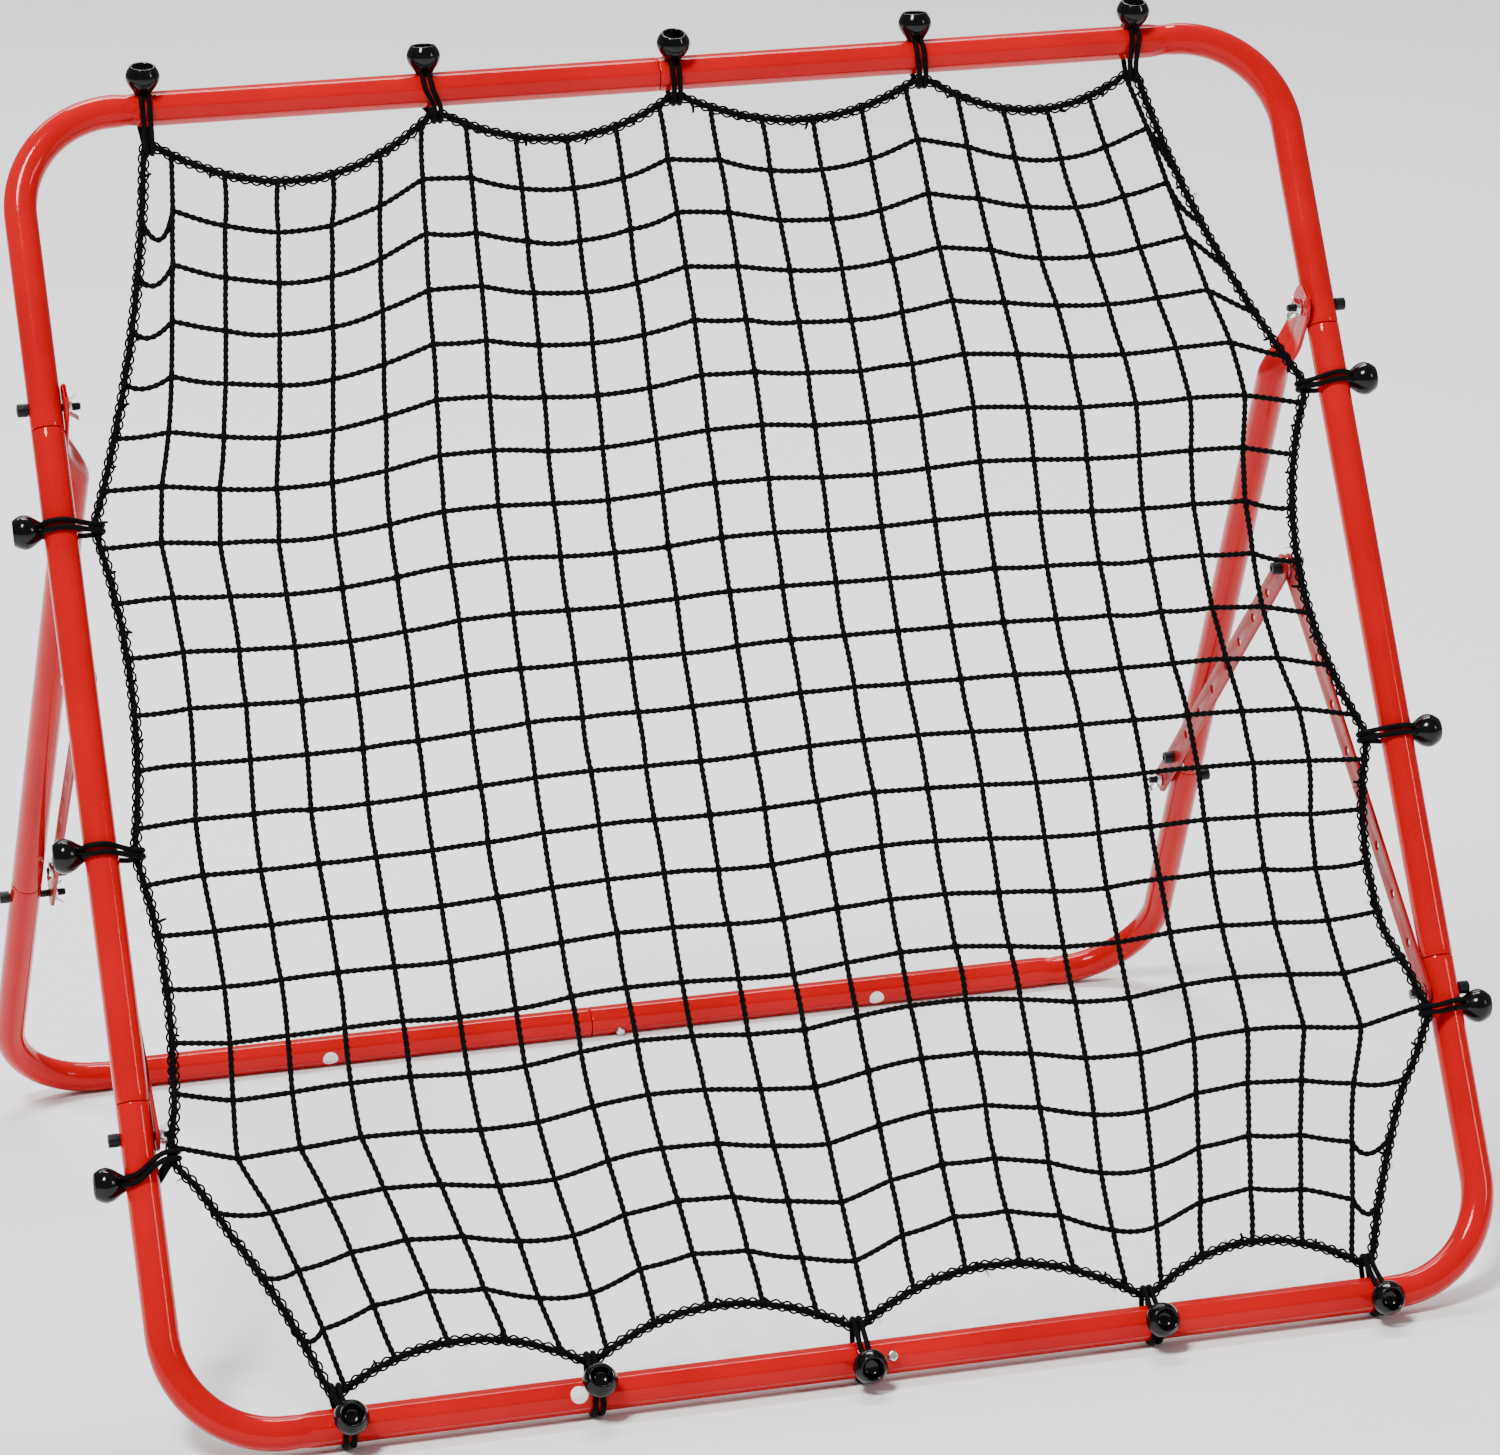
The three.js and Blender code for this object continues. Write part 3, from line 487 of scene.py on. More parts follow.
def sticker_paper():
    """White coated paper, slightly grubby."""
    n = Nodes("sticker_paper")
    n.colour(n.mix(n.span(n.noise(380, detail=6), 0.5, 0.75, 0, 1), (0.82, 0.82, 0.80), (0.62, 0.60, 0.57)))
    n.roughness(n.span(n.noise(900), 0.3, 0.7, 0.45, 0.65))
    n.bump(n.noise(1500, detail=3), 0.00002)
    return n.material


RED = paint("red_paint", (0.500, 0.0010, 0.0055), (0.400, 0.0008, 0.0045), 0.08, 0.17, 1.42)
STRAP_RED = paint("strap_paint", (0.330, 0.0080, 0.0110), (0.260, 0.0060, 0.0090), 0.30, 0.46, 1.26)
ZINC = zinc()
BLACK_STEEL = black_steel()
NET_TWINE = twine("net_twine", (0.0020, 0.0020, 0.0022), 1, 0.0042, 0.00025)
LACING = twine("lacing_thread", (0.0026, 0.0026, 0.0029), 1, 0.0022, 0.0001)
ELASTIC = twine("elastic_sheath", (0.0028, 0.0028, 0.0030), 4, 0.0032, 0.00018)
BALL = ball_plastic()
PAPER = sticker_paper()


# ---------- Tube sections ----------

# Each section gives, for the angles round a tube, the reach along the plane's back and within the plane.

ROUND = np.linspace(0, 2 * np.pi, TUBE_SIDES, endpoint=False)


def round_section(radius):
    return np.stack([radius * np.cos(ROUND), radius * np.sin(ROUND)], -1)


def eight_flats(half_flat, corner_radius, turn):
    """Octagon with pressed flats and round corners; turn brings its flats level with the ground."""
    pitch = math.pi / 4
    off_flat = (ROUND + pitch / 2) % pitch - pitch / 2
    flat = half_flat / np.cos(off_flat)
    softness = 60
    radius = (flat ** -softness + corner_radius ** -softness) ** (-1 / softness)
    return np.stack([radius * np.cos(ROUND + turn), radius * np.sin(ROUND + turn)], -1)


def pressed_flat(half_width, half_thickness, crease=0.0):
    """Flattened end of a tube; crease sinks a groove down the middle of both faces."""
    across = half_width * np.cos(ROUND)
    face = np.clip(2.4 * np.sin(ROUND), -1, 1)
    groove = 1 - crease * np.exp(-(across / 0.003) ** 2)
    return np.stack([across, half_thickness * face * groove], -1)


TUBE = round_section(TUBE_RADIUS)
BORE = round_section(TUBE_RADIUS - TUBE_WALL)
SPIGOT = round_section(SPIGOT_RADIUS)
SPIGOT_BORE = round_section(SPIGOT_RADIUS - TUBE_WALL)


def tube_ring(plane, centre, direction, section):
    """Ring in a plane's frame: centre (x, height), direction of the tube within the plane."""
    within = np.array([-direction[1], direction[0]])
    x = centre[0] + within[0] * section[:, 1]
    height = centre[1] + within[1] * section[:, 1]
    return plane.at(x, height, section[:, 0])


def bent_stations(start, corner, end, radius, spacing=0.004):
    """Centres and directions along two straights with a round bend between them."""
    start, corner, end = (np.array(p, float) for p in (start, corner, end))
    inward, outward = unit(corner - start), unit(end - corner)
    turn = math.acos(np.clip(inward @ outward, -1, 1))
    reach = radius * math.tan(turn / 2)
    first, last = corner - inward * reach, corner + outward * reach
    side = unit(outward - inward * (inward @ outward))
    centre = first + side * radius
    lead = np.linspace(start, first, max(2, int(np.linalg.norm(first - start) / spacing)), endpoint=False)
    tail = np.linspace(last, end, max(2, int(np.linalg.norm(end - last) / spacing)))[1:]
    angles = np.linspace(0, turn, 1 + int(radius * turn / 0.003))[:, None]
    arc = centre - side * radius * np.cos(angles) + inward * radius * np.sin(angles)
    arc_directions = inward * np.cos(angles) + side * np.sin(angles)
    centres = np.vstack([lead, arc, tail])
    directions = np.vstack([
        np.broadcast_to(inward, lead.shape), arc_directions, np.broadcast_to(outward, tail.shape),
    ])
    return centres, directions


def open_tube(plane, stations):
    """Closed wall of an open-ended tube through (centre, direction, outer, inner) stations."""
    outside = [tube_ring(plane, c, d, outer) for c, d, outer, _ in stations]
    inside = [tube_ring(plane, c, d, inner) for c, d, _, inner in stations]
    rings = np.array(outside + inside[::-1])
    lengths = np.r_[0, np.cumsum(np.linalg.norm(np.diff([s[0] for s in stations], axis=0), axis=1))]
    return Shape().loft(rings, np.r_[lengths, lengths[::-1]], closed=True)


def lip_stations(centre, direction, outer, inner):
    """Rolled end of a tube: the wall's outer edge rounds over just before the end."""
    centre, direction = np.array(centre, float), np.array(direction, float)
    steps = [(0.0, 1 - 0.75 * LIP / TUBE_RADIUS), (0.3 * LIP, 1 - 0.25 * LIP / TUBE_RADIUS), (LIP, 1.0)]
    return [(centre + direction * along, direction, outer * scale, inner) for along, scale in steps]


def rolled_end(centre, direction, outer, inner):
    """The same lip where a tube that runs along direction ends."""
    lip = lip_stations(centre, -direction, outer, inner)
    return [(c, direction, o, i) for c, _, o, i in lip[::-1]]


def bar_half(plane, corner, end, turn, has_spigot):
    """Half of a level bar from its middle, its bend and the short upright, on the +X side."""
    start = np.array([SEAM_GAP, corner[1]])
    centres, directions = bent_stations(start, corner, end, BEND_RADIUS)
    flats = eight_flats(BAR_HALF_FLAT, BAR_CORNER_RADIUS, turn)
    flats_bore = eight_flats(BAR_HALF_FLAT - TUBE_WALL, BAR_CORNER_RADIUS - TUBE_WALL, turn)
    bend_start = corner[0] - BEND_RADIUS
    stations = []
    level = np.array([1.0, 0.0])
    if has_spigot:
        tip = np.array([-SPIGOT_LENGTH, corner[1]])
        stations += lip_stations(tip, level, SPIGOT, SPIGOT_BORE)
        stations.append((start, level, SPIGOT, SPIGOT_BORE))
        stations += lip_stations(start, level, flats, SPIGOT_BORE)
    else:
        stations += lip_stations(start, level, flats, flats_bore)
    for centre, direction in zip(centres, directions):
        if centre[0] < start[0] + 1.5 * LIP and direction[0] > 0.99:
            continue
        share = smoothstep((centre[0] - (bend_start - FLATS_EASE)) / FLATS_EASE)
        if direction[0] < 0.999:
            share = 1.0
        outer = flats + (TUBE - flats) * share
        inner = flats_bore + (BORE - flats_bore) * share
        stations.append((centre, direction, outer, inner))
    last = np.array(end, float)
    downward = directions[-1]
    stations = [s for s in stations if (s[0] - last) @ downward < -2 * LIP or s[1] @ downward < 0.9]
    stations += rolled_end(last - downward * SEAM_GAP, downward, TUBE, BORE)
    return open_tube(plane, stations)


def straight_tube(plane, points, spigots):
    """Tube between two (x, height) points with a spigot past one or both ends."""
    first, last = (np.array(p, float) for p in points)
    direction = unit(last - first)
    stations = []
    if spigots[0]:
        stations += lip_stations(first - direction * SPIGOT_LENGTH, direction, SPIGOT, SPIGOT_BORE)
        stations.append((first, direction, SPIGOT, SPIGOT_BORE))
    stations += lip_stations(first, direction, TUBE, SPIGOT_BORE if spigots[0] else BORE)
    for share in np.linspace(0.02, 0.98, 40):
        stations.append((first + (last - first) * share, direction, TUBE, SPIGOT_BORE))
    stations += rolled_end(last, direction, TUBE, SPIGOT_BORE)
    if spigots[1]:
        stations.append((last, direction, SPIGOT, SPIGOT_BORE))
        stations += rolled_end(last + direction * SPIGOT_LENGTH, direction, SPIGOT, SPIGOT_BORE)
    return open_tube(plane, stations)


def for_side(side, shape):
    return shape.mirror() if side < 0 else shape


# ---------- Holes ----------

def drill(pieces, origin, direction, radius, reach, through=True):
    """Cuts one round hole through pieces along direction, from -reach (or 0) to +reach."""
    start = -reach if through else 0.0
    cutter = Shape().loft(lathe([(radius, start), (radius, reach)], 32), caps=True)
    cutter.place(axis_matrix(origin, direction))
    tool = make_tool("drill", cutter)
    for piece in pieces:
        cut = piece.modifiers.new("hole", "BOOLEAN")
        cut.operation = "DIFFERENCE"
        cut.solver = "EXACT"
        cut.object = tool
        bake(piece)
    mesh = tool.data
    bpy.data.objects.remove(tool)
    bpy.data.meshes.remove(mesh)


def make_tool(name, shape):
    mesh = bpy.data.meshes.new(name)
    faces = [face.tolist() for group in shape.faces for face in group]
    mesh.from_pydata(np.concatenate(shape.points).tolist(), [], faces)
    tool = bpy.data.objects.new(name, mesh)
    bpy.context.collection.objects.link(tool)
    return tool


def bake(piece):
    """Turns a piece's modifiers into its mesh."""
    graph = bpy.context.evaluated_depsgraph_get()
    graph.update()
    mesh = bpy.data.meshes.new_from_object(piece.evaluated_get(graph))
    old = piece.data
    piece.modifiers.clear()
    piece.data = mesh
    bpy.data.meshes.remove(old)
    mesh.set_sharp_from_angle(angle=math.radians(32))


# ---------- Frame tubes ----------

def add_front_frame():
    for name, side in SIDES.items():
        spigot = side < 0
        top_turn = FRAME_LEAN + TOP_BAR_TURN
        corner, end = (FRAME_HALF, FRAME_SIDE), (FRAME_HALF, UPPER_SEAM)
        top = bar_half(front_plane, corner, end, top_turn, spigot)
        node = f"frame_top_{name}_corner"
        top_piece = make_piece(
            f"{node}_tube", for_side(side, top), RED, "front_frame", [node])

        corner, end = (FRAME_HALF, 0), (FRAME_HALF, LOWER_SEAM)
        bottom = bar_half(front_plane, corner, end, FRAME_LEAN, spigot)
        node = f"frame_bottom_{name}_corner"
        bottom_piece = make_piece(
            f"{node}_tube", for_side(side, bottom), RED, "front_frame", [node])

        ends = (FRAME_HALF, LOWER_SEAM + SEAM_GAP), (FRAME_HALF, UPPER_SEAM - SEAM_GAP)
        shaft = straight_tube(front_plane, ends, (True, True))
        stud = turned([
            (0, -0.003), (0.0055, -0.003), (0.0055, 0.0012),
            *rounded_corner((0.0043, 0.0011), 0.0012, 0, 90), (0, 0.0023),
        ], 32)
        stud_foot = front_plane.at(FRAME_HALF + TUBE_RADIUS, STUD_HEIGHT)
        shaft.merge(stud.place(axis_matrix(stud_foot, ALONG_X)))
        node = f"frame_{name}_upright"
        shaft_piece = make_piece(
            f"{node}_tube", for_side(side, shaft), RED, "front_frame", [node])

        for bolt, tube in (("pivot", top_piece), ("front_strap", bottom_piece)):
            place = box_centre(f"{name}_{bolt}_bolt")
            drill([tube, shaft_piece], place, ALONG_X, HOLE_RADIUS, 0.04)
        if side > 0:
            drill_button(top_piece, "top_joint")
            drill_button(bottom_piece, "bottom_joint")


def button_axis(joint):
    """Foot on the bar's axis and outward direction of a joint's snap button."""
    middle = box_centre(f"{joint}_button")
    centres = {
        "top_joint": front_plane.at(BUTTON_OFFSET, FRAME_SIDE),
        "bottom_joint": front_plane.at(BUTTON_OFFSET, 0.0),
        "base_joint": stand_plane.at(BUTTON_OFFSET, -LEG_LENGTH),
    }
    centre = centres[joint] * (0, 1, 1) + (BUTTON_OFFSET, 0, 0)
    return centre, unit(middle - centre)


def drill_button(piece, joint):
    centre, direction = button_axis(joint)
    drill([piece], centre, direction, BUTTON_RADIUS + 0.0003, 0.02, through=False)


def leg_shape():
    """Leg on the +X side: a pressed flat at the pivot, the tube and a spigot into the foot."""
    stations = []
    down = np.array([0.0, -1.0])

    def flat_station(distance, half_width, share, crease):
        outer = pressed_flat(half_width, FLAT_HALF_THICKNESS, crease)
        outer = outer + (TUBE - outer) * share
        inner = pressed_flat(half_width - 0.0012, 0.0004)
        inner = inner + (SPIGOT_BORE - inner) * share
        x = FLAT_X + (leg_x(distance) - FLAT_X) * share
        return (np.array([x, -distance]), down, outer, inner)

    for share in np.linspace(0, 1, 9)[:-1]:
        half_width = FLAT_HALF_WIDTH * (0.45 + 0.55 * math.sin(share * math.pi / 2) ** 0.8)
        stations.append(flat_station(-FLAT_TIP + share * FLAT_TIP, half_width, 0, 0.1))
    for share in np.linspace(0, 1, 8)[:-1]:
        stations.append(flat_station(share * FLAT_LENGTH, FLAT_HALF_WIDTH, 0, 0.1 + 0.3 * share))
    for step in np.linspace(0, 1, 27):
        share = float(smoothstep(step))
        crease = 0.55 * math.sin(math.pi * min(1.0, 0.35 + step)) ** 2
        stations.append(flat_station(FLAT_LENGTH + FLAT_EASE * step, FLAT_HALF_WIDTH, share, crease))
    seam = LEG_SEAM - SEAM_GAP
    begin = FLAT_LENGTH + FLAT_EASE
    slope = unit([leg_x(LEG_LENGTH) - leg_x(FLAT_LENGTH), FLAT_LENGTH - LEG_LENGTH])
    for distance in np.linspace(begin + 0.01, seam - 3 * LIP, 40):
        stations.append((np.array([leg_x(distance), -distance]), slope, TUBE, SPIGOT_BORE))
    end = np.array([leg_x(seam), -seam])
    stations += rolled_end(end, slope, TUBE, SPIGOT_BORE)
    stations.append((end, slope, SPIGOT, SPIGOT_BORE))
    stations += rolled_end(end + slope * SPIGOT_LENGTH, slope, SPIGOT, SPIGOT_BORE)
    return open_tube(stand_plane, stations)


def add_stand():
    for name, side in SIDES.items():
        node = f"stand_{name}_leg"
        leg = make_piece(f"{node}_tube", for_side(side, leg_shape()), RED, "stand", [node])
        corner, end = (LEG_HALF_SPREAD, -LEG_LENGTH), (leg_x(LEG_SEAM), -LEG_SEAM)
        foot_shape = bar_half(stand_plane, corner, end, -leg_lean, side < 0)
        node = f"stand_{name}_foot"
        foot = make_piece(f"{node}_tube", for_side(side, foot_shape), RED, "stand", [node])
        drill([leg], box_centre(f"{name}_pivot_bolt"), ALONG_X, HOLE_RADIUS, 0.04)
        drill([leg, foot], box_centre(f"{name}_rear_strap_bolt"), ALONG_X, HOLE_RADIUS, 0.04)
        if side > 0:
            drill_button(foot, "base_joint")


add_front_frame()
add_stand()


# ---------- Net: where every strand runs ----------

class Hook(NamedTuple):
    """An elastic on its bar: where it holds the rope, and how the rope and strands run to the next one.

    lean is how many degrees its ball leans from straight out towards the player. lead and trail are the gaps
    before the first and after the last strand of the stretch that follows, in strand spacings.
    """

    bar: str
    lean: float
    ball_at: float
    rope_at: float
    hold: float
    bow: float
    strands: int
    lead: float
    trail: float
    forward: float = 0.0


# Clockwise from the top left.
HOOKS = [
    Hook("top", 42, -0.3985, -0.398, 0.030, 0.040, 6, 0.35, 0.27),
    Hook("top", 32, -0.1825, -0.176, 0.020, 0.027, 5, 0.50, 0.30),
    Hook("top", 50, 0.0115, 0.012, 0.019, 0.026, 5, 0.58, 0.26),
    Hook("top", 28, 0.2075, 0.209, 0.019, 0.028, 5, 0.75, 0.05),
    Hook("top", 45, 0.3835, 0.380, 0.026, 0.012, 5, 2.05, 0.55),
    Hook("right", 0, 0.710, 0.708, 0.024, 0.030, 7, 0.25, 0.35),
    Hook("right", 0, 0.425, 0.425, 0.025, 0.019, 6, 0.35, 0.02),
    Hook("right", 0, 0.209, 0.206, 0.021, 0.005, 3, 1.10, 1.18, 0.0155),
    Hook("bottom", 75, 0.405, 0.402, 0.024, 0.028, 5, 0.21, 0.26),
    Hook("bottom", 87, 0.2285, 0.228, 0.021, 0.034, 6, 0.30, 0.15),
    Hook("bottom", 72, 0.005, 0.005, 0.025, 0.028, 5, 0.65, 0.25),
    Hook("bottom", 102, -0.195, -0.195, 0.024, 0.026, 5, 0.42, 0.10),
    Hook("bottom", 95, -0.377, -0.382, 0.024, 0.008, 3, 1.47, 1.07),
    Hook("left", -5, 0.1915, 0.205, 0.021, 0.012, 6, 0.05, 0.50, 0.0155),
    Hook("left", -5, 0.4345, 0.430, 0.025, 0.012, 6, 0.36, 0.28),
    Hook("left", -5, 0.6795, 0.677, 0.026, 0.009, 6, 0.60, 1.40),
]
BARS = {
    "top": ((0, FRAME_SIDE), (1, 0), (0, -1), 1),
    "right": ((FRAME_HALF, 0), (0, 1), (-1, 0), -1),
    "bottom": ((0, 0), (1, 0), (0, 1), -1),
    "left": ((-FRAME_HALF, 0), (0, 1), (1, 0), 1),
}
STRANDS = 21
ROPE_RADIUS = 0.0035
HOLD_HALF = 0.004
MESH_UP = 0.038
MESH_ACROSS = 0.0405
MESH_REAL = 0.0425
TWINE_RADIUS = 0.00212
NET_SAG = 0.010
TWINE_TWIST = 0.0054
KNOT_SIZE = (0.0023, 0.0023, 0.0019)
BORDER_KNOT_SIZE = (0.0030, 0.0030, 0.0026)
ROPE_STRAND_RADIUS = 0.00132
ROPE_LAY_RADIUS = 0.00128
ROPE_LAY = 0.015
LACING_RADIUS = 0.00078
LACING_PITCH = 0.0086
LACING_SUNK = 0.0022
LACING_CRESTS = (0.0041, 0.0037)


def on_bar(hook, at, inward):
    origin, along, into, _ = BARS[hook.bar]
    return np.array(origin, float) + np.array(along, float) * at + np.array(into, float) * inward


def bezier(start, control, end, share):
    share = np.asarray(share)[:, None]
    return (1 - share) ** 2 * start + 2 * share * (1 - share) * control + share ** 2 * end


def edge_spans():
    """Start, control and end of the rope between each elastic and the next, as (x, height)."""
    spans = []
    for hook, following in zip(HOOKS, HOOKS[1:] + HOOKS[:1]):
        _, along, _, way = BARS[hook.bar]
        _, next_along, _, next_way = BARS[following.bar]
        start = on_bar(hook, hook.rope_at, hook.hold) + np.array(along) * way * HOLD_HALF
        end = on_bar(following, following.rope_at, following.hold)
        end = end - np.array(next_along) * next_way * HOLD_HALF
        run = end - start
        inward = unit([run[1], -run[0]])
        spans.append((start, (start + end) / 2 + inward * 2 * hook.bow, end))
    return spans


def even_points(points, shares):
    """Points at shares of the length of a fine polyline."""
    lengths = np.r_[0, np.cumsum(np.linalg.norm(np.diff(points, axis=0), axis=1))]
    wanted = np.asarray(shares) * lengths[-1]
    return np.stack([np.interp(wanted, lengths, points[:, k]) for k in range(points.shape[1])], -1)


def relaxed_net():
    """Crossings of the net in its plane, row by row from the bottom, the border knots included."""
    ends = []
    for hook, span in zip(HOOKS, edge_spans()):
        shares = (np.arange(hook.strands) + hook.lead) / (hook.strands - 1 + hook.lead + hook.trail)
        ends.append(even_points(bezier(*span, np.linspace(0, 1, 200)), shares))
    top, right = np.vstack(ends[0:4]), np.vstack(ends[4:8])
    bottom, left = np.vstack(ends[8:12]), np.vstack(ends[12:16])
    last = STRANDS + 1
    grid = np.zeros((last + 1, last + 1, 2))
    grid[last, 1:last], grid[0, 1:last] = top, bottom[::-1]
    grid[1:last, 0], grid[1:last, last] = left, right[::-1]
    for row in range(1, last):
        for column in range(1, last):
            u, v = column / last, row / last
            upright = (1 - v) * grid[0, column] + v * grid[last, column]
            level = (1 - u) * grid[row, 0] + u * grid[row, last]
            grid[row, column] = (upright + level) / 2
    speed = np.zeros_like(grid)
    for _ in range(6000):
        force = np.zeros_like(grid)
        for axis, rest in ((0, MESH_UP), (1, MESH_ACROSS)):
            strand = np.diff(grid, axis=axis)
            length = np.maximum(np.linalg.norm(strand, axis=2, keepdims=True), 1e-9)
            pull = strand * (np.maximum(1 - rest / length, 0) + 0.001)
            if axis == 0:
                force[:-1] += pull
                force[1:] -= pull
            else:
                force[:, :-1] += pull
                force[:, 1:] -= pull
        force[0] = force[-1] = 0
        force[:, 0] = force[:, -1] = 0
        speed = (speed + 0.3 * force) * 0.985
        grid = grid + speed
    return grid


def rope_curve():
    """The border rope's centre line as closed (x, height, back) points, evenly spaced."""
    points = []
    for index, (hook, span) in enumerate(zip(HOOKS, edge_spans())):
        following = HOOKS[(index + 1) % len(HOOKS)]
        share = np.linspace(0, 1, 90, endpoint=False)
        flat = bezier(*span, share)
        near = 1 - smoothstep((share - 0.13) / 0.2)
        far = 1 - smoothstep((0.87 - share) / 0.2)
        lift = -(hook.forward * near + following.forward * far)
        points.append(np.column_stack([flat, lift]))
        held = np.linspace(span[2], edge_spans()[(index + 1) % len(HOOKS)][0], 6, endpoint=False)
        points.append(np.column_stack([held, np.full(6, -following.forward)]))
    points = np.vstack(points)
    closed = np.vstack([points, points[:1]])
    length = np.linalg.norm(np.diff(closed, axis=0), axis=1).sum()
    count = int(length / 0.0012)
    even = even_points(closed, np.arange(count) / count)
    kernel = np.hanning(11) / np.hanning(11).sum()
    padded = np.vstack([even[-5:], even, even[:5]])
    return np.stack([np.convolve(padded[:, k], kernel, "valid") for k in range(3)], -1), length


def in_frame(points):
    """(x, height, back) points of the front frame's plane, in the shared frame."""
    return front_plane.at(points[..., 0], points[..., 1], points[..., 2])


def net_depth():
    """How far each crossing hangs back: most in the middle of the net, with small irregularities."""
    rng = np.random.default_rng(41)
    last = STRANDS + 1
    row, column = np.meshgrid(np.arange(last + 1), np.arange(last + 1), indexing="ij")
    dome = np.sin(np.pi * row / last) * np.sin(np.pi * column / last)
    return NET_SAG * dome + 0.0012 * rng.normal(size=dome.shape) * (dome > 0)


def strand_path(nodes, rng, slack_ends):
    """Smooth line through the crossings of one strand; a mesh that isn't taut hangs in a small droop."""
    pieces = []
    count = len(nodes)
    for k in range(count - 1):
        before = nodes[max(k - 1, 0)]
        start, end = nodes[k], nodes[k + 1]
        after = nodes[min(k + 2, count - 1)]
        share = np.linspace(0, 1, 1 + max(4, int(np.linalg.norm(end - start) / 0.0009)))[:-1, None]
        run = end - start
        lead = (end - before) / 2 * 0.3 + run * 0.7
        trail = (after - start) / 2 * 0.3 + run * 0.7
        cubic = (
            (2 * share ** 3 - 3 * share ** 2 + 1) * start
            + (share ** 3 - 2 * share ** 2 + share) * lead
            + (-2 * share ** 3 + 3 * share ** 2) * end
            + (share ** 3 - share ** 2) * trail
        )
        gap = np.linalg.norm(run)
        slack = max(MESH_REAL * 0.985 - gap, 0) * slack_ends[k]
        droop = math.sqrt(0.375 * gap * slack) if slack > 0 else 0.0
        wave = 4 * share * (1 - share)
        sway = np.array([rng.normal() * 0.3, -1.0, rng.normal() * 0.3])
        cubic = cubic + wave * droop * sway * (abs(run[0]) / gap)
        cubic = cubic + wave * (0.0003 + 0.25 * droop) * rng.normal(size=3)
        pieces.append(cubic)
    pieces.append(nodes[-1:])
    return np.vstack(pieces)


def twine_rings(points, radius, twist, sides=6):
    """Twisted twine: two bulges that wind round it, so its outline is never a plain rod."""
    lengths = np.r_[0, np.cumsum(np.linalg.norm(np.diff(points, axis=0), axis=1))]
    angles = 2 * np.pi * np.arange(sides) / sides
    bulge = 1 + 0.17 * np.cos(2 * angles[None] - 2 * np.pi * lengths[:, None] / twist)
    return cord_rings(points, front_plane.back, radius * bulge, sides), lengths


def knot_shape():
    """One knot of the net about its own centre: a lumpy wrap of twine."""
    polar = np.linspace(0, np.pi, 7)
    around = np.linspace(0, 2 * np.pi, 9, endpoint=False)
    rings = []
    for p in polar:
        r = math.sin(p)
        lump = 1 + 0.14 * np.cos(3 * around + 4 * p)
        ring = np.stack([r * lump * np.cos(around), r * lump * np.sin(around), np.full(9, -math.cos(p))], -1)
        rings.append(ring)
    return np.array(rings)


def add_net():
    grid = relaxed_net()
    depth = net_depth()
    rope, _ = rope_curve()
    last = STRANDS + 1
    nodes = np.dstack([grid, depth])
    border = [(0, k) for k in range(1, last)] + [(last, k) for k in range(1, last)]
    border += [(k, 0) for k in range(1, last)] + [(k, last) for k in range(1, last)]
    for row, column in border:
        nearest = np.argmin(((rope[:, :2] - nodes[row, column, :2]) ** 2).sum(1))
        nodes[row, column] = rope[nearest]

    rng = np.random.default_rng(7)
    net = Shape()
    for k in range(1, last):
        near_corner = np.interp(min(k, last - k), [2, 3, 4, 5], [1.0, 0.6, 0.3, 0.05])
        slack = np.full(last, 0.04)
        slack[[0, -1]] = near_corner
        for line in (nodes[k], nodes[:, k]):
            path = in_frame(strand_path(line, rng, slack))
            rings, lengths = twine_rings(path, TWINE_RADIUS, TWINE_TWIST)
            net.loft(rings, lengths, caps=True)

    knot = knot_shape()
    spots = [(r, c) for r in range(1, last) for c in range(1, last)]
    for row, column in spots + border:
        centre = in_frame(nodes[row, column])
        at_border = row in (0, last) or column in (0, last)
        size = np.array(KNOT_SIZE) * rng.uniform(0.9, 1.12, 3)
        if at_border:
            size = np.array(BORDER_KNOT_SIZE) * rng.uniform(0.9, 1.1, 3)
        turn = rng.uniform(0, np.pi)
        axes = np.array([
            ALONG_X * math.cos(turn) + front_plane.up * math.sin(turn),
            front_plane.up * math.cos(turn) - ALONG_X * math.sin(turn),
            front_plane.back,
        ])
        net.loft(centre + (knot * size) @ axes, np.linspace(0, 0.006, len(knot)))
    make_piece("net_twine", net, NET_TWINE, "front_frame", ["net"], sharp=70)


def helix(points, radius, pitch, phase, way=1):
    """Line that winds round another closed line."""
    tangent = tangents_of(points, closed=True)
    back = np.broadcast_to(front_plane.back, points.shape)
    across = unit(back - (back * tangent).sum(-1, keepdims=True) * tangent)
    other = np.cross(tangent, across)
    steps = np.linalg.norm(np.roll(points, -1, 0) - points, axis=1)
    lengths = np.r_[0, np.cumsum(steps)[:-1]]
    turns = round(steps.sum() / pitch)
    angle = (2 * np.pi * turns * lengths / steps.sum() + phase)[:, None] * way
    return points + radius * (across * np.cos(angle) + other * np.sin(angle)), other


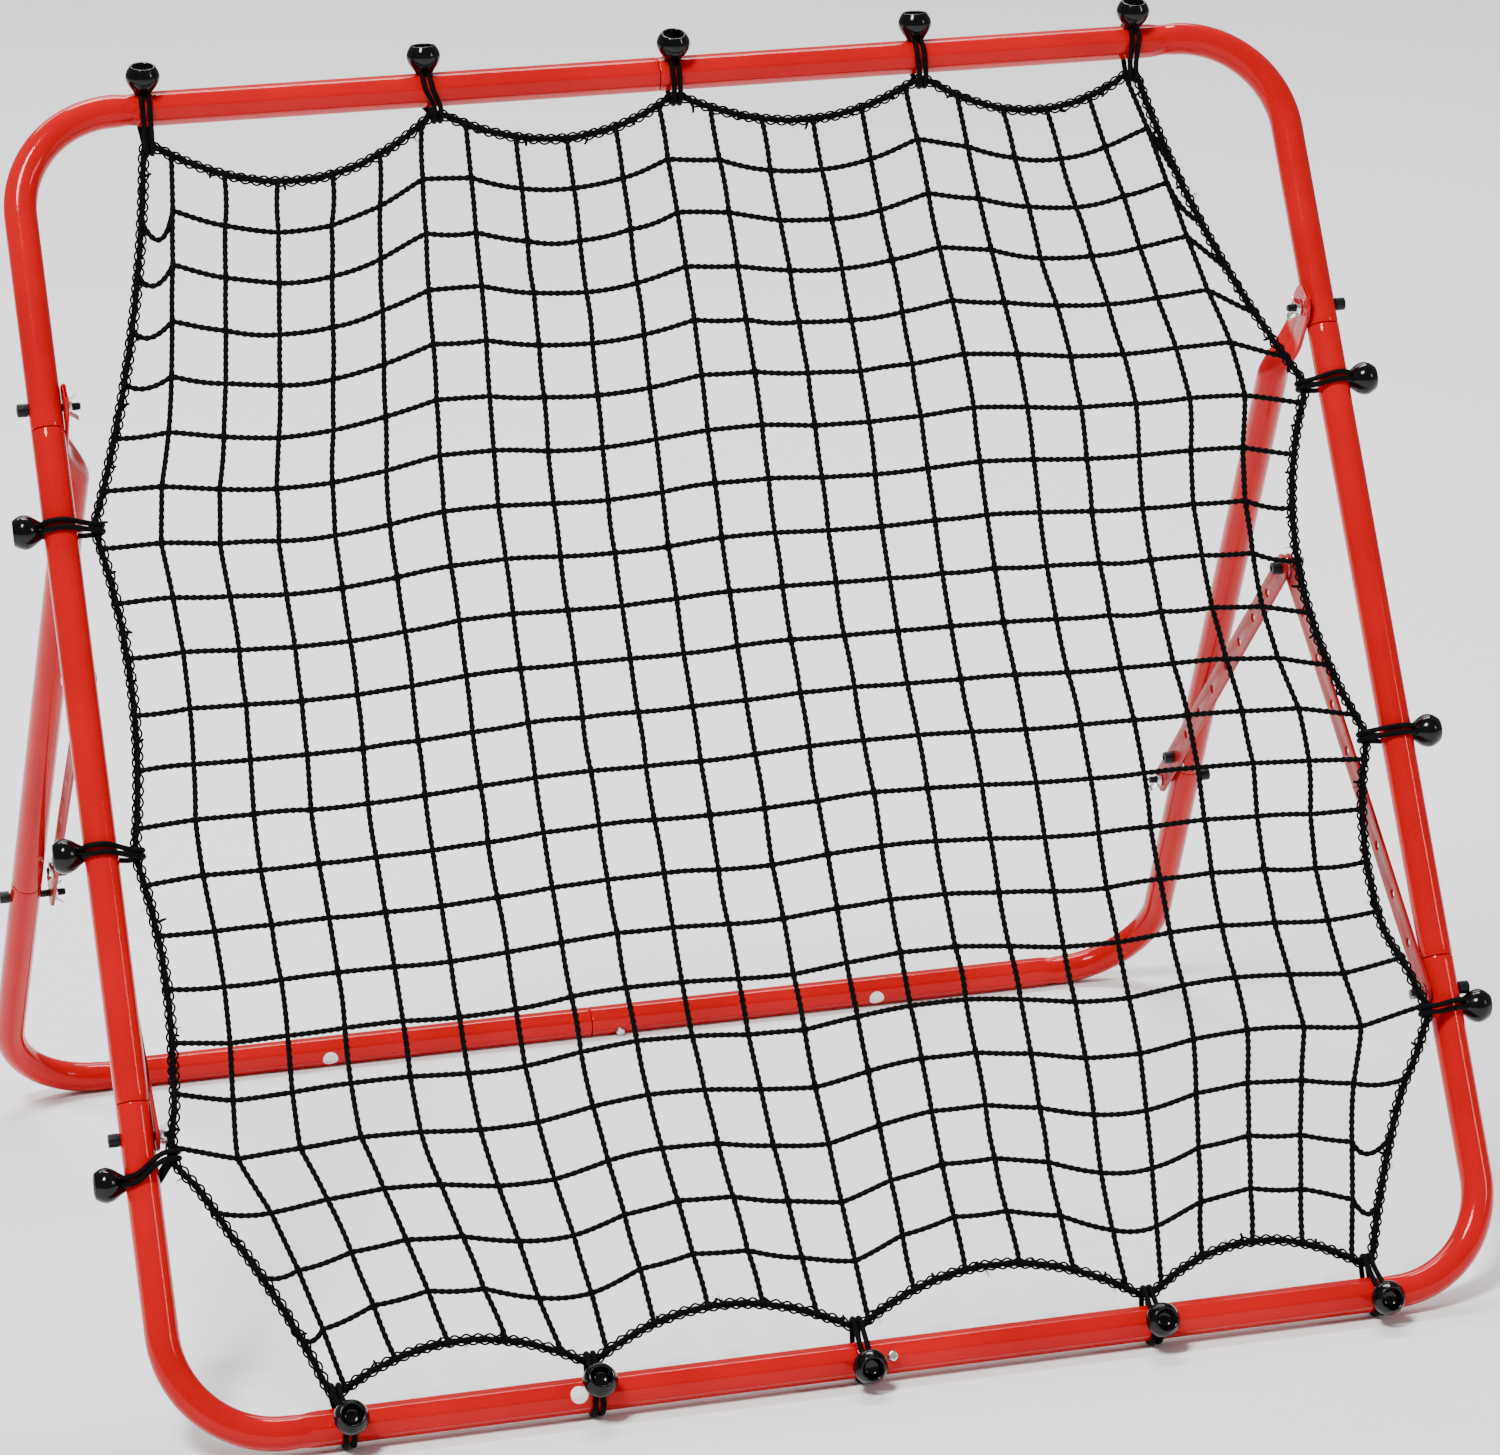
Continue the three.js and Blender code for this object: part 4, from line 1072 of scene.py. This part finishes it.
def add_border_rope():
    rope, length = rope_curve()
    centre = in_frame(rope)
    shape = Shape()
    for k in range(3):
        turns = 2 * np.pi * np.arange(len(centre)) / len(centre)
        loose = ROPE_LAY_RADIUS + 0.00016 * np.sin(61 * turns + k) + 0.00014 * np.sin(143 * turns + 2 * k)
        strand, _ = helix(centre, loose[:, None], ROPE_LAY, 2 * np.pi * k / 3)
        rings = cord_rings(strand, front_plane.back, ROPE_STRAND_RADIUS, 9, closed=True)
        shape.loft(rings, np.arange(len(rings)) * length / len(rings), closed=True)
    make_piece("border_rope", shape, NET_TWINE, "front_frame", ["net_edge_rope"], sharp=70)

    lacing = Shape()
    _, outward = helix(centre, 0, 1, 0)
    along = np.arange(len(centre)) / len(centre)
    loops = round(length / LACING_PITCH)
    for way, crest, phase in zip((-1, 1), LACING_CRESTS, (0, 0.5)):
        swing = 0.5 - 0.5 * np.cos(2 * np.pi * (along * loops + phase))
        side = 0.0009 * np.sin(2 * np.pi * (along * loops + phase))
        reach = LACING_SUNK + (crest - LACING_SUNK) * swing ** 0.7
        thread = centre + way * reach[:, None] * outward + side[:, None] * front_plane.back
        rings = cord_rings(thread, front_plane.back, LACING_RADIUS, 7, closed=True)
        lacing.loft(rings, along * length, closed=True)
    make_piece("rope_lacing", lacing, LACING, "front_frame", sharp=70)

    rng = np.random.default_rng(19)
    frays = Shape()
    for place in np.linspace(0, len(rope), 36, endpoint=False).astype(int):
        place = (place + rng.integers(0, 24)) % len(rope)
        side = outward[place] * rng.choice([-1, 1]) * rng.uniform(0.6, 1)
        side = side + front_plane.back * rng.normal() * 0.4
        start = centre[place] + unit(side) * 0.002
        for _ in range(rng.integers(5, 8)):
            bend = rng.normal(size=3) * 0.55
            reach = rng.uniform(0.004, 0.009)
            share = np.linspace(0, 1, 7)[:, None]
            hair = start + reach * (share * unit(side + 0.6 * bend) + 0.35 * share ** 2 * bend)
            radius = np.linspace(0.00026, 0.00006, 7)[:, None]
            frays.loft(cord_rings(hair, front_plane.back + 0.01, radius, 5), caps=True)
    for place in np.linspace(0, len(rope), 84, endpoint=False).astype(int):
        place = (place + rng.integers(0, 16)) % len(rope)
        side = unit(-outward[place] + front_plane.back * rng.normal() * 0.5)
        start = centre[place] + side * 0.0022
        share = np.linspace(0, 1, 9)[:, None]
        reach = rng.uniform(0.0022, 0.0046)
        tail = start + reach * (share * side + 0.4 * share ** 2 * rng.normal(size=3))
        radius = 0.00125 * (1 - 0.35 * share ** 3) * (1 + 0.18 * np.cos(6 * share + np.arange(6)))
        frays.loft(cord_rings(tail, front_plane.back + 0.01, radius, 6), caps=True)
    make_piece("rope_frayed_ends", frays, LACING, "front_frame", sharp=70)


add_net()
add_border_rope()


# ---------- Ball bungees ----------

CORD_RADIUS = 0.0020
BALL_SEAT = 0.0016
CORD_SPREAD = 0.0029
BALL_RADIUS = 0.0129
BALL_LENGTH = 0.0205


def loop_line(bar_radius, rope_radius, reach, steps=40):
    """Closed line round the bar, at the origin, and the net's rope, at -reach along the second axis."""
    tangent = math.pi - math.acos((bar_radius - rope_radius) / reach)
    over = np.linspace(-tangent, tangent, 2 * steps)
    under = np.linspace(tangent, 2 * math.pi - tangent, steps)
    bar = np.stack([bar_radius * np.sin(over), bar_radius * np.cos(over)], -1)
    rope = np.stack([rope_radius * np.sin(under), -reach + rope_radius * np.cos(under)], -1)
    corner = np.vstack([bar, rope])
    closed = np.vstack([corner, corner[:1]])
    length = np.linalg.norm(np.diff(closed, axis=0), axis=1).sum()
    count = int(length / 0.0013)
    return even_points(closed, np.arange(count) / count), length


def ball_profile():
    """(radius, height) of a moulded ball: neck, full waist, rounded rim and a cup in its end."""
    rim = rounded_corner((0.0087, BALL_LENGTH - 0.0011), 0.0011, 25, 165, 8)
    waist = [
        (0.0068, -0.0002), (0.0074, 0.0008), (0.0085, 0.0024), (0.0101, 0.0046), (0.0114, 0.0068),
        (0.0124, 0.0092), (BALL_RADIUS, 0.0116), (0.0127, 0.0138), (0.0120, 0.0160), (0.0108, 0.0182),
    ]
    cup = [
        (0.0077, 0.0184), (0.0074, 0.0158), (0.0065, 0.0135), (0.0046, 0.0120), (0.0022, 0.0114), (0, 0.0113),
    ]
    return [(0, -0.0012), (0.0056, -0.0012), *waist, *rim, *cup]


def smooth_profile(profile, steps=3):
    """The same profile with in-between points on a soft curve."""
    points = np.array(profile)
    result = []
    for k in range(len(points) - 1):
        p0, p1 = points[max(k - 1, 0)], points[k]
        p2, p3 = points[k + 1], points[min(k + 2, len(points) - 1)]
        for t in np.linspace(0, 1, steps, endpoint=False):
            result.append(0.5 * (
                2 * p1 + (p2 - p0) * t + (2 * p0 - 5 * p1 + 4 * p2 - p3) * t * t
                + (3 * p1 - p0 - 3 * p2 + p3) * t ** 3
            ))
    result.append(points[-1])
    return [(max(float(r), 0.0), float(h)) for r, h in result]


def add_bungee(hook, name, rng):
    """Two turns of elastic round the bar and the net's rope, drawn through a ball that sits on the bar."""
    plane = front_plane
    _, along, into, _ = BARS[hook.bar]
    bar_centre = in_frame(np.array([*on_bar(hook, hook.ball_at, 0), 0.0]))
    rope_centre = in_frame(np.array([*on_bar(hook, hook.rope_at, hook.hold), -hook.forward]))
    inward = plane.at(into[0], into[1]) - plane.origin
    barward = plane.at(along[0], along[1]) - plane.origin
    outward = -inward
    across = np.cross(outward, barward)
    reach = float(np.linalg.norm((rope_centre - bar_centre) @ np.stack([across, outward], -1)))
    toward = unit((rope_centre - bar_centre) - barward * ((rope_centre - bar_centre) @ barward))
    outward = -toward
    across = np.cross(outward, barward)
    shift = (rope_centre - bar_centre) @ barward
    straight_out = plane.origin - plane.at(into[0], into[1])
    ball_lean = math.radians(hook.lean)
    ball_way = straight_out * math.cos(ball_lean) - plane.back * math.sin(ball_lean)

    line, length = loop_line(TUBE_RADIUS + CORD_RADIUS + 0.0001, ROPE_RADIUS + CORD_RADIUS, reach)
    down = np.clip(-line[:, 1] / reach, 0, 1)
    around = line[:, :1] * across + line[:, 1:] * outward
    ball_share = np.clip(around @ ball_way / TUBE_RADIUS, 0, 1)
    shape = Shape()
    for k in (-1, 1):
        spread = k * CORD_SPREAD * (1 - 0.2 * down - 0.15 * smoothstep((ball_share - 0.8) / 0.3))
        lean = shift * smoothstep(down)
        wander = 0.0002 * np.sin(np.linspace(0, 2 * np.pi, len(line)) * 2 + rng.uniform(0, 6))
        points = (
            bar_centre + line[:, :1] * across + line[:, 1:] * outward
            + (spread + lean + wander)[:, None] * barward
        )
        rings = cord_rings(points, barward, CORD_RADIUS, 14, closed=True)
        shape.loft(rings, np.arange(len(rings)) * length / len(rings), closed=True)

    seat = TUBE_RADIUS + BALL_SEAT
    root = bar_centre + ball_way * (seat - 0.003)
    neck = Shape()
    for k in (-1, 1):
        stub = np.array([root + barward * k * 0.0017, root + barward * k * 0.0015 + ball_way * 0.006])
        stub = stub[0] + (stub[1] - stub[0]) * np.linspace(0, 1, 6)[:, None]
        neck.loft(cord_rings(stub, barward, CORD_RADIUS * 0.95, 12), caps=True)
    shape.merge(neck)
    make_piece(f"{name}_elastic", shape, ELASTIC, "front_frame", [name], sharp=60)

    tilt = rng.normal(size=2) * 0.035
    way = unit(ball_way + barward * tilt[0] + np.cross(barward, ball_way) * tilt[1])
    ball = turned(smooth_profile(ball_profile()), 48)
    ball.place(axis_matrix(bar_centre + ball_way * seat, way, rng.uniform(0, 6)))
    make_piece(f"{name}_ball", ball, BALL, "front_frame", sharp=50)


def add_bungees():
    rng = np.random.default_rng(3)
    seen = {}
    for hook in HOOKS:
        seen[hook.bar] = seen.get(hook.bar, 0) + 1
        add_bungee(hook, f"ball_bungee_{hook.bar}_{seen[hook.bar]}", rng)


# ---------- Straps ----------

def strap_shape(start, end, face_x, side):
    """Perforated strap between two (y, z) ends, its inner face at face_x, with broken edges."""
    start, end = np.array(start), np.array(end)
    length = float(np.linalg.norm(end - start))
    radius = STRAP_WIDTH / 2
    curve = bpy.data.curves.new("strap_outline", "CURVE")
    curve.dimensions = "2D"
    curve.fill_mode = "BOTH"
    bevel = 0.0004
    curve.extrude = STRAP_THICKNESS / 2 - bevel
    curve.bevel_depth = bevel
    curve.bevel_resolution = 2
    curve.offset = -bevel

    def closed_line(points):
        spline = curve.splines.new("POLY")
        spline.points.add(len(points) - 1)
        for target, point in zip(spline.points, points):
            target.co = (point[0], point[1], 0, 1)
        spline.use_cyclic_u = True

    low = np.linspace(math.pi, 2 * math.pi, 25)
    high = np.linspace(0, math.pi, 25)
    outline = [(radius * math.cos(a), radius * math.sin(a)) for a in low]
    outline += [(radius * math.cos(a), length + radius * math.sin(a)) for a in high]
    closed_line(outline)
    for k in range(HOLE_COUNT):
        around = np.linspace(0, -2 * math.pi, 32, endpoint=False)
        centre = length * k / (HOLE_COUNT - 1)
        hole_radius = HOLE_RADIUS + bevel
        closed_line([(hole_radius * math.cos(a), centre + hole_radius * math.sin(a)) for a in around])
    holder = bpy.data.objects.new("strap_outline", curve)
    bpy.context.collection.objects.link(holder)
    along = Vector((0, *(end - start) / length))
    outer = Vector((1, 0, 0))
    turn = Matrix((along.cross(outer), along, outer)).transposed().to_4x4()
    middle_x = face_x + side * STRAP_THICKNESS / 2
    holder.matrix_world = Matrix.Translation((middle_x, *start)) @ turn
    graph = bpy.context.evaluated_depsgraph_get()
    graph.update()
    mesh = bpy.data.meshes.new_from_object(holder.evaluated_get(graph))
    mesh.transform(holder.matrix_world)
    bpy.data.objects.remove(holder)
    bpy.data.curves.remove(curve)
    return mesh


def weld(mesh):
    """Joins the separate skins of a filled curve into one surface."""
    work = bmesh.new()
    work.from_mesh(mesh)
    bmesh.ops.remove_doubles(work, verts=work.verts, dist=1e-5)
    bmesh.ops.recalc_face_normals(work, faces=work.faces)
    work.to_mesh(mesh)
    work.free()


def add_strap(node, body, start, end, side):
    low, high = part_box(node)
    face_x = low[0] if side > 0 else high[0]
    mesh = strap_shape(start, end, face_x, side)
    weld(mesh)
    mesh.shade_smooth()
    mesh.set_sharp_from_angle(angle=math.radians(28))
    mesh.materials.clear()
    mesh.materials.append(STRAP_RED)
    mesh.name = f"{node}_steel"
    piece = bpy.data.objects.new(f"{node}_steel", mesh)
    bpy.context.collection.objects.link(piece)
    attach(piece, body)
    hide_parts(node)


# ---------- Bolts, wing nuts, spacers, buttons ----------

def bolt_shape(shank, threaded):
    """Pan head along +Z from z = 0 with a shallow hexagon socket; the shank runs to -Z and ends in thread."""
    edge = 0.0009
    head = [
        (0, -0.0002), (HEAD_RADIUS - 0.0003, 0.0), (HEAD_RADIUS, 0.0003), (HEAD_RADIUS, HEAD_LENGTH - edge),
        *rounded_corner((HEAD_RADIUS - edge, HEAD_LENGTH - edge), edge, 15, 90, 5),
        (0.0026, HEAD_LENGTH), (0.0024, HEAD_LENGTH - 0.0002),
        (0.0024, HEAD_LENGTH - 0.0026), (0.0010, HEAD_LENGTH - 0.0030), (0, HEAD_LENGTH - 0.0030),
    ]
    rings = lathe(head, 48)
    angles = np.arctan2(rings[3, :, 1], rings[3, :, 0])
    hexagon = 0.88 / np.cos((angles + np.pi / 6) % (np.pi / 3) - np.pi / 6)
    for ring in rings[-5:-1]:
        ring[:, :2] *= hexagon[:, None]
    shape = Shape().loft(rings, caps=True)
    plain = -(shank - threaded)
    shape.loft(lathe([(0, plain), (BOLT_RADIUS, plain), (BOLT_RADIUS, 0.0002), (0, 0.0002)], 32), caps=True)
    sides = 32
    count = int(threaded / (THREAD_PITCH / 6))
    angle = 2 * np.pi * np.arange(sides) / sides
    rings = []
    for k in range(count + 1):
        z = plain - threaded * k / count
        phase = (z / THREAD_PITCH + angle / (2 * np.pi)) % 1
        radius = BOLT_RADIUS - 0.0005 * (1 - np.abs(2 * phase - 1))
        taper = 1 - 0.16 * float(smoothstep((k / count - 0.9) / 0.1))
        radius = radius * taper
        rings.append(np.stack([radius * np.cos(angle), radius * np.sin(angle), angle * 0 + z], -1))
    shape.loft(np.array(rings)[::-1], caps=True)
    return shape


def add_bolt(node, body, side, shank, threaded):
    """side is the way the head faces along X."""
    low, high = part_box(node)
    centre = box_centre(node)
    seat = (high[0] if side > 0 else low[0]) - side * HEAD_LENGTH
    centre[0] = seat
    shape = bolt_shape(shank, threaded)
    shape.place(axis_matrix(centre, ALONG_X * side, 0.4 * side))
    make_piece(f"{node}_steel", shape, BLACK_STEEL, body, [node], sharp=30)


def wing_nut_shape(height, bore):
    """Pressed wing nut seated on z = 0: a rolled hub ring and two curled sheet wings that flare to +Z."""
    thickness = 0.0012
    hub = [
        (bore, 0.0002), (bore + 0.0003, 0.0), (0.0060, 0.0), (0.0065, 0.0005), (0.0065, 0.0011),
        (0.0060, 0.0016), (0.0050, 0.0019), (0.0046, 0.0030), (0.0042, 0.0034), (bore + 0.0002, 0.0034),
        (bore, 0.0031),
    ]
    shape = Shape().loft(lathe(hub, 40), closed=True)
    for way in (1, -1):
        shares = np.linspace(0, 1, 14)
        middle_r = 0.0058 + (WING_REACH - 0.0064) * shares ** 1.15
        middle_z = 0.0009 + (height - 0.0013) * np.sin(shares * math.pi / 2) ** 1.1
        run = unit(np.gradient(np.stack([middle_r, middle_z], -1), axis=0))
        normal = np.stack([run[:, 1], -run[:, 0]], -1)
        half = np.array([
            0.0038 + 0.0002 * math.sin(math.pi * s) - 0.0020 * max(0.0, (s - 0.72) / 0.28) ** 2.2
            for s in shares
        ])
        curl = 0.0009
        rings = []
        for r, z, n, w in zip(middle_r, middle_z, normal, half):
            ring = []
            for a in np.linspace(0, 2 * math.pi, 20, endpoint=False):
                across = w * math.copysign(abs(math.cos(a)) ** 0.5, math.cos(a))
                depth = thickness / 2 * math.copysign(abs(math.sin(a)) ** 0.5, math.sin(a))
                bow = curl * (across / 0.004) ** 2
                ring.append((way * (r + n[0] * depth - bow), way * across, z + n[1] * depth))
            rings.append(ring)
        shape.loft(np.array(rings), caps=True)
    return shape


def add_wing_nut(node, body, facing, turn, height, bore, capped=False):
    low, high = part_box(node)
    centre = box_centre(node)
    centre[0] = low[0] if facing > 0 else high[0]
    shape = wing_nut_shape(height, bore)
    if capped:
        tip = 0.010
        dome = [(0, 0.0002), (BOLT_RADIUS, 0.0002), (BOLT_RADIUS, tip - 0.0012),
                (BOLT_RADIUS - 0.0006, tip - 0.0002), (0, tip)]
        shape.loft(lathe(dome, 32), caps=True)
    # The wings lie along local +X: up at rest, then turned about the bolt.
    outer = Vector((facing, 0, 0))
    wing = Vector((0, -math.sin(turn), math.cos(turn)))
    axes = Matrix((wing, outer.cross(wing), outer)).transposed().to_4x4()
    shape.place(Matrix.Translation(centre) @ axes)
    make_piece(f"{node}_plate", shape, ZINC, body, [node], sharp=34)


def add_spacer(node, body):
    low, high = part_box(node)
    inner, outer, edge = HOLE_RADIUS, 0.008, 0.0004
    width = high[0] - low[0]
    profile = [
        (inner, edge), (inner + edge, 0), (outer - edge, 0), (outer, edge),
        (outer, width - edge), (outer - edge, width), (inner + edge, width), (inner, width - edge),
    ]
    ring = Shape().loft(lathe(profile, 48), closed=True)
    centre = box_centre(node)
    centre[0] = low[0]
    ring.place(axis_matrix(centre, ALONG_X))
    make_piece(f"{node}_ring", ring, ZINC, body, [node])


def outer_face(node, side):
    """Distance from the middle of the object to a node's outer face, along X."""
    return abs(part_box(node)[0 if side < 0 else 1][0])


def add_fasteners():
    for name, side in SIDES.items():
        pivot_nut, front_nut, rear_nut = (
            outer_face(f"{name}_{bolt}_wing_nut", side) for bolt in ("pivot", "front_strap", "rear_strap")
        )
        head_x = FRAME_HALF + TUBE_RADIUS + 0.0003
        rear_head_x = outer_face(f"{name}_rear_strap_bolt", side) - HEAD_LENGTH
        tip = 0.010
        add_bolt(f"{name}_pivot_bolt", "stand", side, head_x - pivot_nut + tip, 0.016)
        add_bolt(f"{name}_front_strap_bolt", "front_frame", side, head_x - front_nut + tip, 0.016)
        add_bolt(f"{name}_rear_strap_bolt", "stand", side, rear_head_x - rear_nut + tip, 0.016)
        add_bolt(f"{name}_stop_bolt", f"{name}_rear_brace", -side, 0.0079, 0.0050)
        add_bolt(f"{name}_elbow_bolt", f"{name}_rear_brace", -side, 0.0057, 0.0010)
        for bolt, facing, height in (
            ("pivot", -side, 0.008), ("front_strap", -side, 0.008), ("rear_strap", -side, 0.008),
            ("stop", side, 0.0042), ("elbow", side, 0.008),
        ):
            bore = HOLE_RADIUS if bolt != "elbow" else 0.0020
            add_wing_nut(
                f"{name}_{bolt}_wing_nut", f"{name}_{bolt}_nut", facing, side * NUT_TURNS[bolt], height, bore,
                capped=bolt == "elbow",
            )
        add_spacer(f"{name}_elbow_spacer", f"{name}_rear_brace")


def add_straps():
    for name, side in SIDES.items():
        front = box_centre(f"{name}_front_strap_bolt")[1:]
        rear = box_centre(f"{name}_rear_strap_bolt")[1:]
        elbow = box_centre(f"{name}_elbow_bolt")[1:]
        add_strap(f"{name}_front_strap", f"{name}_front_brace", front, elbow, side)
        add_strap(f"{name}_rear_strap", f"{name}_rear_brace", rear, elbow, side)


def add_buttons():
    for joint in ("top_joint", "bottom_joint", "base_joint"):
        centre, direction = button_axis(joint)
        foot, top = 0.0075, 0.0164
        profile = [
            (0, foot), (BUTTON_RADIUS - 0.0003, foot), (BUTTON_RADIUS, foot + 0.0003),
            (BUTTON_RADIUS, top - 0.0016),
            *rounded_corner((BUTTON_RADIUS - 0.0015, top - 0.0016), 0.0015, 8, 85, 6),
            (0.0010, top - 0.00005), (0, top),
        ]
        button = turned(profile, 40).place(axis_matrix(centre, direction))
        make_piece(
            f"{joint}_button_dome", button, ZINC, joint.replace("_joint", "_snap_button"),
            [f"{joint}_button"],
        )
        spring = bpy.data.objects[f"{joint}_leaf_spring"]
        spring.data.materials.clear()
        spring.data.materials.append(ZINC)


# ---------- Blank adhesive dots ----------

def add_dot(name, plane, x, height, flat_angle, slip, body):
    """Paper dot wrapped on a level bar, slip past the flat at flat_angle from the plane's back."""
    radius, thickness = 0.0065, 0.00012
    rings = []
    for r in np.linspace(0.0001, radius, 7):
        around = np.linspace(0, 2 * math.pi, 32, endpoint=False)
        rings.append(np.stack([r * np.cos(around), r * np.sin(around)], -1))
    edge = BAR_HALF_FLAT + 0.00008

    def on_tube(flat, lift):
        turn = flat_angle + slip + flat[:, 1] / edge
        near_flat = (turn - flat_angle + math.pi / 8) % (math.pi / 4) - math.pi / 8
        reach = np.minimum(edge / np.cos(near_flat), BAR_CORNER_RADIUS) + lift
        return plane.at(x + flat[:, 0], height + reach * np.sin(turn), reach * np.cos(turn))

    top = [on_tube(ring, thickness) for ring in rings]
    bottom = [on_tube(ring, 0.0) for ring in rings[::-1]]
    shape = Shape().loft(np.array(top + bottom), caps=True)
    make_piece(name, shape, PAPER, body, sharp=60)


def add_dots():
    """Blank dots: one on the bottom bar, stuck above its front flat, and two on the base bar, below it."""
    higher, lower = math.radians(-25), math.radians(18)
    add_dot("bottom_bar_dot", front_plane, -0.209, 0.0, math.pi + FRAME_LEAN, higher, "front_frame")
    for name, x in (("left", -0.233), ("right", 0.259)):
        add_dot(f"base_bar_{name}_dot", stand_plane, x, -LEG_LENGTH, math.pi - leg_lean, lower, "stand")


add_bungees()
add_straps()
add_fasteners()
add_buttons()
add_dots()


# ---------- Floor and light ----------

def add_floor():
    size = 30
    mesh = bpy.data.meshes.new("floor")
    corners = [(-size, -size, 0), (size, -size, 0), (size, size, 0), (-size, size, 0)]
    mesh.from_pydata(corners, [], [(0, 1, 2, 3)])
    n = Nodes("floor_sheet")
    n.colour(n.mix(n.noise(1.2), (0.86, 0.86, 0.86), (0.90, 0.90, 0.90)))
    n.set(Roughness=0.9)
    mesh.materials.append(n.material)
    floor = bpy.data.objects.new("floor", mesh)
    bpy.context.collection.objects.link(floor)


def add_light(name, place, target, width, height, power):
    light = bpy.data.lights.new(name, "AREA")
    light.shape = "RECTANGLE"
    light.size, light.size_y = width, height
    light.energy = power
    lamp = bpy.data.objects.new(name, light)
    lamp.location = place
    aim = Vector(target) - Vector(place)
    lamp.rotation_euler = aim.to_track_quat("-Z", "Y").to_euler()
    bpy.context.collection.objects.link(lamp)


def add_studio():
    add_floor()
    add_light("key_light", (-2.7, -3.2, 6.6), (0, 0, 0.4), 1.4, 2.0, 800)
    add_light("fill_light", (5.0, -4.0, 3.0), (0, 0, 0.5), 0.7, 1.8, 75)
    add_light("top_light", (0.3, 2.6, 6.0), (0, 0, 0.3), 3.4, 0.9, 360)
    add_light("floor_light", (0.0, 7.5, 7.0), (0, 7.5, 0), 9.0, 5.0, 640)
    world = bpy.data.worlds.new("studio")
    world.use_nodes = True
    world.node_tree.nodes["Background"].inputs["Color"].default_value = (1, 1, 1, 1)
    world.node_tree.nodes["Background"].inputs["Strength"].default_value = 0.27
    bpy.context.scene.world = world


add_studio()
